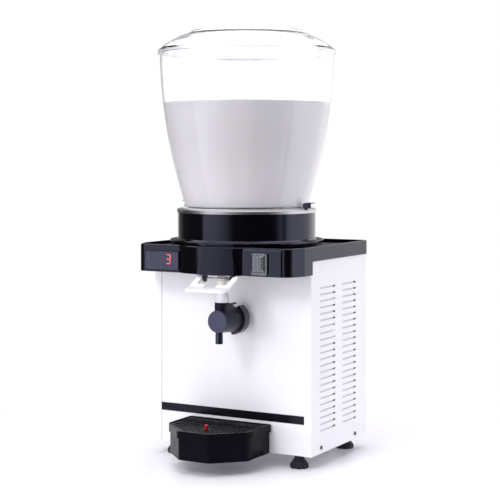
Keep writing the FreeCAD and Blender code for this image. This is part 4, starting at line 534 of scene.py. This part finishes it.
drinkSizes = {"centre": (0.0, 0.0072), "low": 0.4095, "level": 0.578, "skin": 0.0025, "clear": -0.00015,
              "climb": 0.0012, "climbReach": 0.003, "footRadius": 0.0985, "footHeight": 0.4117,
              "middleRadius": 0.12805, "middleHeight": 0.5356, "rimRadius": 0.1396, "rimHeight": 0.6595}

drinkLook = {"colour": (0.575, 0.562, 0.570), "second": (0.562, 0.550, 0.558), "rough": (0.28, 0.34),
             "mottle": 14.0, "grain": 500.0, "depth": 0.000008}
# the foot colour is painted light: a paler drink low in the bowl, standing in for light that falls short there
drinkTones = {"scatter": 0.15, "scatterReach": 0.006, "bandFrom": 0.560, "bandTo": 0.576, "bandShare": 0.35,
              "bandTone": (0.53, 0.52, 0.53), "footFrom": 0.415, "footTo": 0.535, "footPaintedLight": (0.675, 0.66, 0.67)}


def bowlInside(sizes, height):
    # the inner wall is an arc through three points; the radius at a height comes from its circle
    (r0, z0), (r1, z1), (r2, z2) = ((sizes["footRadius"], sizes["footHeight"]),
                                    (sizes["middleRadius"], sizes["middleHeight"]),
                                    (sizes["rimRadius"], sizes["rimHeight"]))
    rows = np.array([[2 * (r1 - r0), 2 * (z1 - z0)], [2 * (r2 - r0), 2 * (z2 - z0)]])
    right = np.array([r1 ** 2 - r0 ** 2 + z1 ** 2 - z0 ** 2, r2 ** 2 - r0 ** 2 + z2 ** 2 - z0 ** 2])
    centreR, centreZ = np.linalg.solve(rows, right)
    size = math.hypot(r0 - centreR, z0 - centreZ)
    arc = centreR + np.sqrt(size ** 2 - (height - centreZ) ** 2)
    return np.where(height < z0, r0, arc)


def makeDrink(sizes):
    # hollow turned skin: up the middle of the top, over the wetted edge, down the wall and back up inside
    height = np.linspace(sizes["level"] + sizes["climb"], sizes["low"], 60)
    wall = np.column_stack([bowlInside(sizes, height) - sizes["clear"], height])
    edge = wall[0, 0]
    out = np.linspace(0.0, 1.0, 30)
    rise = sizes["climb"] * np.exp(-(1.0 - out) * edge / sizes["climbReach"])
    top = np.column_stack([out * edge, sizes["level"] + rise])
    inner = wall[::-1] - [sizes["skin"], 0.0]
    inner = inner[inner[:, 1] < sizes["level"] - sizes["skin"]]
    under = np.column_stack([out[::-1] * inner[-1, 0], np.full(30, sizes["level"] - sizes["skin"])])
    profile = np.vstack([top, wall[1:], inner, under[1:]])
    return turnedSurface("drink", profile, sizes["centre"], 180)


def makeDrinkFinish(look, tones):
    # opaque milky drink: a slightly darker band under its level, and painted light towards the foot of the bowl,
    # where it is made paler to make up for light the lamps leave short there
    material = makeFinish("drinkMilky", look)
    tree = material.node_tree
    shader = tree.nodes["Principled BSDF"]
    shader.inputs["Subsurface Weight"].default_value = tones["scatter"]
    shader.inputs["Subsurface Radius"].default_value = (tones["scatterReach"],) * 3
    height = splitPlace(tree)[2]
    band = stepBetween(tree, height, tones["bandFrom"], tones["bandTo"], 0.0, tones["bandShare"])
    recolour(tree, shader, band, tones["bandTone"])
    # painted light: lower down the drink is made paler, in place of the light that does not reach the foot of the
    # bowl
    foot = stepBetween(tree, height, tones["footFrom"], tones["footTo"], 1.0, 0.0)
    recolour(tree, shader, foot, tones["footPaintedLight"])
    return material


drink = makeDrink(drinkSizes)
drink.data.materials.append(makeDrinkFinish(drinkLook, drinkTones))
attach(drink, "bowl")
print("drink poured to", drinkSizes["level"])

# display

displaySizes = {"left": -0.0838, "right": -0.0757, "low": 0.3188, "high": 0.3346, "stroke": 0.0015,
                "proud": 0.00012, "lean": 0.06, "gapShare": 0.25}


def lensStroke(start, end, width, proud, face, lean, foot, steps=16, around=10):
    # the oval section follows the line and narrows by a square root to nothing at both ends
    start, end = np.asarray(start, float), np.asarray(end, float)
    share = np.linspace(0.0, 1.0, steps)
    length = np.linalg.norm(end - start)
    taper = np.sqrt(np.clip(np.minimum(share, 1.0 - share) * length / (width * 0.45), 0.0, 1.0))
    angle = np.linspace(0.0, 2.0 * np.pi, around, endpoint=False)
    across = np.array([-(end - start)[1], (end - start)[0]]) / length
    middle = start + share[:, None] * (end - start)
    flat = middle[:, None, :] + (taper[:, None] * np.cos(angle) * width / 2)[..., None] * across
    flat[..., 0] += lean * (flat[..., 1] - foot)
    outward = face - taper[:, None] * np.sin(angle) * proud
    return np.stack([flat[..., 0], outward, flat[..., 1]], axis=-1)


def joinPieces(name, parts):
    bpy.ops.object.select_all(action="DESELECT")
    for part in parts:
        part.select_set(True)
    bpy.context.view_layer.objects.active = parts[0]
    bpy.ops.object.join()
    parts[0].name = name
    parts[0].data.name = name
    return parts[0]


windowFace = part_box("controller_window")[0][1]


def makeDigit(sizes):
    # the plain digit on the display: five of the seven strokes are lit
    l, r, b, t, w = sizes["left"], sizes["right"], sizes["low"], sizes["high"], sizes["stroke"]
    half, mid = w / 2, (b + t) / 2
    gap = w * sizes["gapShare"]
    strokes = [((l + half, t - half), (r - half - gap, t - half)), ((r - half, t - half), (r - half, mid + gap)),
               ((l + half, mid), (r - half - gap, mid)), ((r - half, mid - gap), (r - half, b + half)),
               ((l + half, b + half), (r - half - gap, b + half))]
    parts = []
    for i, (start, end) in enumerate(strokes):
        points = lensStroke(start, end, w, sizes["proud"], windowFace, sizes["lean"], b)
        parts.append(gridSurface(f"stroke{i}", points, aroundColumns=True))
        closePoles(parts[-1])
    return joinPieces("displayDigit", parts)


def makeGlow(name, colour, strength, variation):
    # lit marks whose brightness changes softly from place to place
    material, tree, shader = newMaterial(name)
    mottle = useEffect(tree, "mottle", Size=260.0)["Amount"]
    bright = mixColours(tree, mottle, colour, tuple(variation * c for c in colour))
    tree.links.new(bright, shader.inputs["Base Color"])
    tree.links.new(bright, shader.inputs["Emission Color"])
    shader.inputs["Emission Strength"].default_value = strength
    shader.inputs["Roughness"].default_value = 0.4
    return material


markPlan = {"width": 0.0007, "proud": 0.0001,
            "dots": ((-0.1195, 0.3115), (-0.1165, 0.3115), (-0.1130, 0.3115), (-0.0671, 0.3118)),
            "dotLength": 0.0012, "ticks": (-0.1067, -0.0999, -0.0932, -0.0847, -0.0766), "tickLow": 0.3108,
            "tickHigh": 0.3128, "column": -0.1177,
            "columnMarks": ((0.3250, 0.3262), (0.3280, 0.3300), (0.3318, 0.3350))}


def makeMarks(plan):
    # small plain marks beside the digit: dots and ticks along the foot and a broken upright line, no words
    lines = [((x - plan["dotLength"] / 2, z), (x + plan["dotLength"] / 2, z)) for x, z in plan["dots"]]
    lines += [((x, plan["tickLow"]), (x, plan["tickHigh"])) for x in plan["ticks"]]
    lines += [((plan["column"], low), (plan["column"], high)) for low, high in plan["columnMarks"]]
    parts = []
    for i, (start, end) in enumerate(lines):
        points = lensStroke(start, end, plan["width"], plan["proud"], windowFace, 0.0, 0.0, 7, 8)
        parts.append(gridSurface(f"mark{i}", points, aroundColumns=True))
        closePoles(parts[-1])
    return joinPieces("displayMarks", parts)


marks = makeMarks(markPlan)
marks.data.materials.append(makeGlow("paleMark", (0.20, 0.21, 0.27), 0.3, 0.7))
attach(marks, "cabinet")

digit = makeDigit(displaySizes)
digit.data.materials.append(makeGlow("litRed", (0.92, 0.10, 0.13), 0.85, 0.8))
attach(digit, "cabinet")
print("display lit")

# silicone boot over the rocker

# rings from the middle of the front to the seat: (forward place, left, right, low, high, squareness)
bootRings = np.array([
    (-0.11720, 0.08800, 0.08800, 0.32680, 0.32680, 2.0), (-0.11720, 0.08330, 0.09260, 0.32150, 0.33210, 4.0),
    (-0.11710, 0.07960, 0.09540, 0.31880, 0.33480, 6.0), (-0.11670, 0.07860, 0.09610, 0.31760, 0.33600, 7.0),
    (-0.11590, 0.07780, 0.09650, 0.31660, 0.33700, 8.0), (-0.11480, 0.07700, 0.09700, 0.31520, 0.33800, 9.0),
    (-0.11330, 0.07590, 0.09760, 0.31320, 0.33920, 9.0), (-0.11205, 0.07500, 0.09840, 0.31170, 0.34010, 9.0),
    (-0.11160, 0.07460, 0.09920, 0.31080, 0.34060, 9.0), (-0.11150, 0.07410, 0.10180, 0.30880, 0.34140, 9.0),
    (-0.11120, 0.07385, 0.10215, 0.30835, 0.34185, 9.0), (-0.11050, 0.07370, 0.10230, 0.30820, 0.34200, 9.0),
    (-0.10815, 0.07370, 0.10230, 0.30820, 0.34200, 9.0)])
bootLook = {"wall": 0.0006, "steps": 96, "colour": (0.016, 0.017, 0.022), "secondShare": 1.4, "mottle": 180.0,
            "rough": 0.09, "touchedMore": 0.08, "tint": (0.86, 0.88, 1.0), "ior": 2.7, "alpha": 0.96,
            "acrossPitch": 0.0042, "uprightPitch": 0.0060, "latticeEdges": (0.80, 0.98), "latticeRough": 0.45}


def makeBoot(rings, look):
    # each ring is a squared oval: the cosine and sine of the turn are raised to 2 over the squareness
    angle = np.linspace(0.0, 2.0 * np.pi, look["steps"], endpoint=False)
    forward, left, right, low, high, square = rings.T[:, :, None]
    sides = np.sign(np.cos(angle)) * np.abs(np.cos(angle)) ** (2.0 / square)
    ups = np.sign(np.sin(angle)) * np.abs(np.sin(angle)) ** (2.0 / square)
    points = np.stack([(left + right) / 2 + (right - left) / 2 * sides, forward + 0.0 * sides,
                       (low + high) / 2 + (high - low) / 2 * ups], axis=-1)
    boot = gridSurface("switchBoot", points, aroundColumns=True)
    wall = boot.modifiers.new("wall", "SOLIDIFY")
    wall.thickness = look["wall"]
    wall.offset = -1.0
    return boot


def makeBootFinish(look):
    # smoky clear silicone with a faint moulded lattice on its face
    material, tree, shader = newMaterial("smokySilicone")
    shader.inputs["IOR"].default_value = look["ior"]
    shader.inputs["Specular Tint"].default_value = (*look["tint"], 1.0)
    mottle = useEffect(tree, "mottle", Size=look["mottle"])["Amount"]
    second = tuple(look["secondShare"] * c for c in look["colour"])
    tree.links.new(mixColours(tree, mottle, look["colour"], second), shader.inputs["Base Color"])
    x, y, z = splitPlace(tree)
    acrossLines = combine(tree, "SINE", combine(tree, "MULTIPLY", z, 2.0 * math.pi / look["acrossPitch"]), 0.0)
    uprightLines = combine(tree, "SINE", combine(tree, "MULTIPLY", x, 2.0 * math.pi / look["uprightPitch"]), 0.0)
    lattice = stepBetween(tree, combine(tree, "MAXIMUM", acrossLines, uprightLines), *look["latticeEdges"])
    skin = useEffect(tree, "handling", Size=60.0, Clean=look["rough"],
                     Touched=look["rough"] + look["touchedMore"], Streaks=0.3)
    raised = combine(tree, "MULTIPLY", lattice, look["latticeRough"])
    tree.links.new(combine(tree, "ADD", skin["Roughness"], raised), shader.inputs["Roughness"])
    shader.inputs["Alpha"].default_value = look["alpha"]
    return material


boot = makeBoot(bootRings, bootLook)
boot.data.materials.append(makeBootFinish(bootLook))
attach(boot, "cabinet")
print("switch boot on")

# stage and light

lightPlan = {
    "key": {"angle": -38.0, "far": 1.6, "wide": 0.5, "tall": 0.5, "middle": 1.33, "aim": 0.25, "radiance": 14.0},
    "left": {"angle": -58.0, "far": 1.7, "wide": 2.2, "tall": 1.0, "middle": 0.52, "aim": 0.52, "radiance": 1.5},
    "right": {"angle": 108.0, "far": 1.8, "wide": 1.1, "tall": 1.2, "middle": 0.60, "aim": 0.60, "radiance": 2.8},
    "top": {"place": (0.0, -0.2, 2.3), "wide": 1.8, "radiance": 3.6},
    "rear": {"far": 2.2, "middle": 1.4, "aim": 0.3, "wide": 1.6, "tall": 1.2, "radiance": 1.2},
    "tone": (1.0, 0.995, 1.0)}
roomPlan = {"fill": 0.42, "fillTone": (0.98, 0.95, 1.06), "clearTone": (0.93, 0.91, 1.0),
            "clearEdges": (-0.50, -0.38), "ringTop": 2.4, "sideEdges": (0.40, 0.52), "sideLeft": 0.10,
            "overhead": 1.6, "overEdges": (0.56, 0.68), "lowBack": 0.5, "lowEdges": (-0.06, 0.0),
            "backEdges": (-0.97, -0.86)}
# what gloss and what clear plastic see: (degrees round from the camera, radiance)
glossRing = ((-180, 0.35), (-159, 0.25), (-140, 0.17), (-128, 0.05), (-79, 0.05), (-75, 1.1), (-60, 1.1),
             (-49, 0.95), (-33, 0.50), (-28, 0.26), (-23, 0.045), (0, 0.03), (43, 0.035), (50, 0.07), (53, 0.42),
             (55, 0.42), (58.6, 0.22), (59.0, 1.5), (60.0, 1.5), (60.4, 0.22), (66, 0.25), (71, 1.1), (78, 1.4),
             (100, 1.1), (116, 0.95), (126, 1.0), (139, 1.35), (160, 0.9), (180, 0.35))
clearRing = ((-180, 1.0), (-120, 1.0), (-112, 0.80), (-95, 0.90), (-85, 1.7), (-45, 1.35), (-25, 0.50), (0, 0.06),
             (40, 0.06), (48, 2.4), (98, 2.4), (106, 1.0), (116, 0.70), (120, 1.0), (180, 1.0))
viewAngle = math.radians(cameraPlace["turn"])
towardsCamera = np.array([math.sin(viewAngle), -math.cos(viewAngle), 0.0])
towardsRight = np.array([math.cos(viewAngle), math.sin(viewAngle), 0.0])


def addSoftbox(name, place, target, wide, tall, radiance):
    # these lamps only light matt surfaces: what gloss and clear plastic see is painted on the room
    data = bpy.data.lights.new(name, "AREA")
    data.shape = "RECTANGLE"
    data.size, data.size_y = wide, tall
    data.energy = radiance * math.pi * wide * tall
    data.color = lightPlan["tone"]
    light = bpy.data.objects.new(name, data)
    light.location = place
    light.rotation_euler = (Vector(target) - Vector(place)).to_track_quat("-Z", "Y").to_euler()
    scene.collection.objects.link(light)
    light.visible_camera = False
    light.visible_transmission = False
    light.visible_glossy = False


def lightStudio(plan):
    for side in ("key", "left", "right"):
        box = plan[side]
        angle = math.radians(box["angle"])
        flat = towardsCamera * math.cos(angle) + towardsRight * math.sin(angle)
        place = flat * box["far"] + np.array([0.0, 0.0, box["middle"]])
        addSoftbox(side + "Softbox", place, (0.0, 0.0, box["aim"]), box["wide"], box["tall"], box["radiance"])
    top, rear = plan["top"], plan["rear"]
    addSoftbox("topFill", top["place"], (0.0, 0.0, 0.0), top["wide"], top["wide"], top["radiance"])
    place = -towardsCamera * rear["far"] + np.array([0.0, 0.0, rear["middle"]])
    addSoftbox("rearFill", place, (0.0, 0.0, rear["aim"]), rear["wide"], rear["tall"], rear["radiance"])


def dotWith(tree, vector, direction):
    dot = tree.nodes.new("ShaderNodeVectorMath")
    dot.operation = "DOT_PRODUCT"
    dot.inputs[1].default_value = tuple(direction)
    tree.links.new(vector, dot.inputs[0])
    return dot.outputs["Value"]


def ringRamp(tree, turn, ring, top):
    # colours of a ramp stop at one, so the radiances are divided by the top one and multiplied again
    ramp = tree.nodes.new("ShaderNodeValToRGB")
    tree.links.new(turn, ramp.inputs[0])
    stops = ramp.color_ramp.elements
    for degrees, radiance in ring[1:-1]:
        stops.new((degrees + 180.0) / 360.0)
    for stop, (degrees, radiance) in zip(stops, ring):
        stop.position = (degrees + 180.0) / 360.0
        stop.color = (radiance / top,) * 3 + (1.0,)
    split = tree.nodes.new("ShaderNodeSeparateColor")
    tree.links.new(ramp.outputs["Color"], split.inputs[0])
    return combine(tree, "MULTIPLY", split.outputs[0], top)


def makeRoom(plan):
    # white wherever the camera looks; gloss and clear plastic each see their own ring of light and dark by the
    # angle round the object, gloss also a bright ceiling, and clear plastic a faint tint beside the object
    world = bpy.data.worlds.new("studioRoom")
    scene.world = world
    world.use_nodes = True
    tree = world.node_tree
    ray = tree.nodes.new("ShaderNodeLightPath").outputs
    direction = tree.nodes.new("ShaderNodeTexCoord").outputs["Generated"]
    ahead = dotWith(tree, direction, towardsCamera)
    angle = combine(tree, "ARCTAN2", dotWith(tree, direction, towardsRight), ahead)
    turn = combine(tree, "ADD", combine(tree, "MULTIPLY", angle, 0.5 / math.pi), 0.5)
    gloss = ringRamp(tree, turn, glossRing, plan["ringTop"])
    clear = ringRamp(tree, turn, clearRing, plan["ringTop"])
    height = tree.nodes.new("ShaderNodeSeparateXYZ")
    tree.links.new(direction, height.inputs[0])
    steep = stepBetween(tree, height.outputs[2], *plan["sideEdges"], 1.0, plan["sideLeft"])
    over = stepBetween(tree, height.outputs[2], *plan["overEdges"], 0.0, plan["overhead"])
    gloss = combine(tree, "ADD", combine(tree, "MULTIPLY", gloss, steep), over)
    low = stepBetween(tree, height.outputs[2], *plan["lowEdges"], plan["lowBack"], 0.0)
    behind = stepBetween(tree, ahead, *plan["backEdges"], 1.0, 0.0)
    gloss = combine(tree, "ADD", gloss, combine(tree, "MULTIPLY", low, behind))
    shiny = combine(tree, "MULTIPLY", ray["Is Glossy Ray"], gloss)
    through = combine(tree, "MULTIPLY", ray["Is Transmission Ray"], clear)
    plain = combine(tree, "ADD", combine(tree, "ADD", shiny, through), ray["Is Camera Ray"])
    soft = combine(tree, "MULTIPLY", ray["Is Diffuse Ray"], plan["fill"])
    background = tree.nodes["Background"]
    tree.links.new(combine(tree, "ADD", plain, soft), background.inputs["Strength"])
    aside = stepBetween(tree, ahead, *plan["clearEdges"])
    edge = combine(tree, "MULTIPLY", ray["Is Transmission Ray"], aside)
    tone = mixColours(tree, edge, (1.0, 1.0, 1.0), plan["clearTone"])
    tree.links.new(mixColours(tree, ray["Is Diffuse Ray"], tone, plan["fillTone"]), background.inputs["Color"])


floorLook = {"near": 0.62, "far": 1.7, "innerRing": 0.05, "rings": (30, 12), "colour": (0.93, 0.925, 0.94),
             "secondShare": 0.996, "mottle": 9.0, "fadeFrom": 0.36, "fadeTo": 0.60, "level": 0.3, "gloss": 0.30,
             "glow": 0.085, "glowTone": (0.92, 0.86, 1.0)}


def floorPiece(name, radius, material):
    # flat rings round the object: (radius, angle) on a grid
    angle = np.linspace(0.0, 2.0 * np.pi, 96, endpoint=False)
    points = np.stack([radius[:, None] * np.cos(angle), radius[:, None] * np.sin(angle),
                       np.zeros((radius.size, angle.size))], axis=-1)
    piece = gridSurface(name, points, aroundColumns=True)
    closePoles(piece)
    piece.data.materials.append(material)
    return piece


def makeFloor(look):
    material, tree, shader = newMaterial("paleFloor")
    shader.inputs["Specular IOR Level"].default_value = look["level"]
    mottle = useEffect(tree, "mottle", Size=look["mottle"])["Amount"]
    base = mixColours(tree, mottle, look["colour"], tuple(look["secondShare"] * c for c in look["colour"]))
    tree.links.new(base, shader.inputs["Base Color"])
    skin = useEffect(tree, "handling", Size=6.0, Clean=look["gloss"], Touched=look["gloss"] + 0.02, Streaks=0.1)
    tree.links.new(skin["Roughness"], shader.inputs["Roughness"])
    shader.inputs["Emission Color"].default_value = look["glowTone"] + (1.0,)
    shader.inputs["Emission Strength"].default_value = look["glow"]
    distance = tree.nodes.new("ShaderNodeVectorMath")
    distance.operation = "LENGTH"
    tree.links.new(objectPlace(tree), distance.inputs[0])
    away = stepBetween(tree, distance.outputs["Value"], look["fadeFrom"], look["fadeTo"])
    pale = tree.nodes.new("ShaderNodeEmission")
    mixed = tree.nodes.new("ShaderNodeMixShader")
    tree.links.new(away, mixed.inputs[0])
    tree.links.new(shader.outputs[0], mixed.inputs[1])
    tree.links.new(pale.outputs[0], mixed.inputs[2])
    tree.links.new(mixed.outputs[0], tree.nodes["Material Output"].inputs["Surface"])
    nearRings, farRings = look["rings"]
    nearRadius = np.concatenate([[0.0], np.geomspace(look["innerRing"], look["near"], nearRings)])
    floorPiece("tableNear", nearRadius, material)
    far = floorPiece("tableFar", np.linspace(look["near"], look["far"], farRings), material)
    far.visible_glossy = False


lightStudio(lightPlan)
makeRoom(roomPlan)
makeFloor(floorLook)
print("studio lit")

# end of the scene

print("scene built")
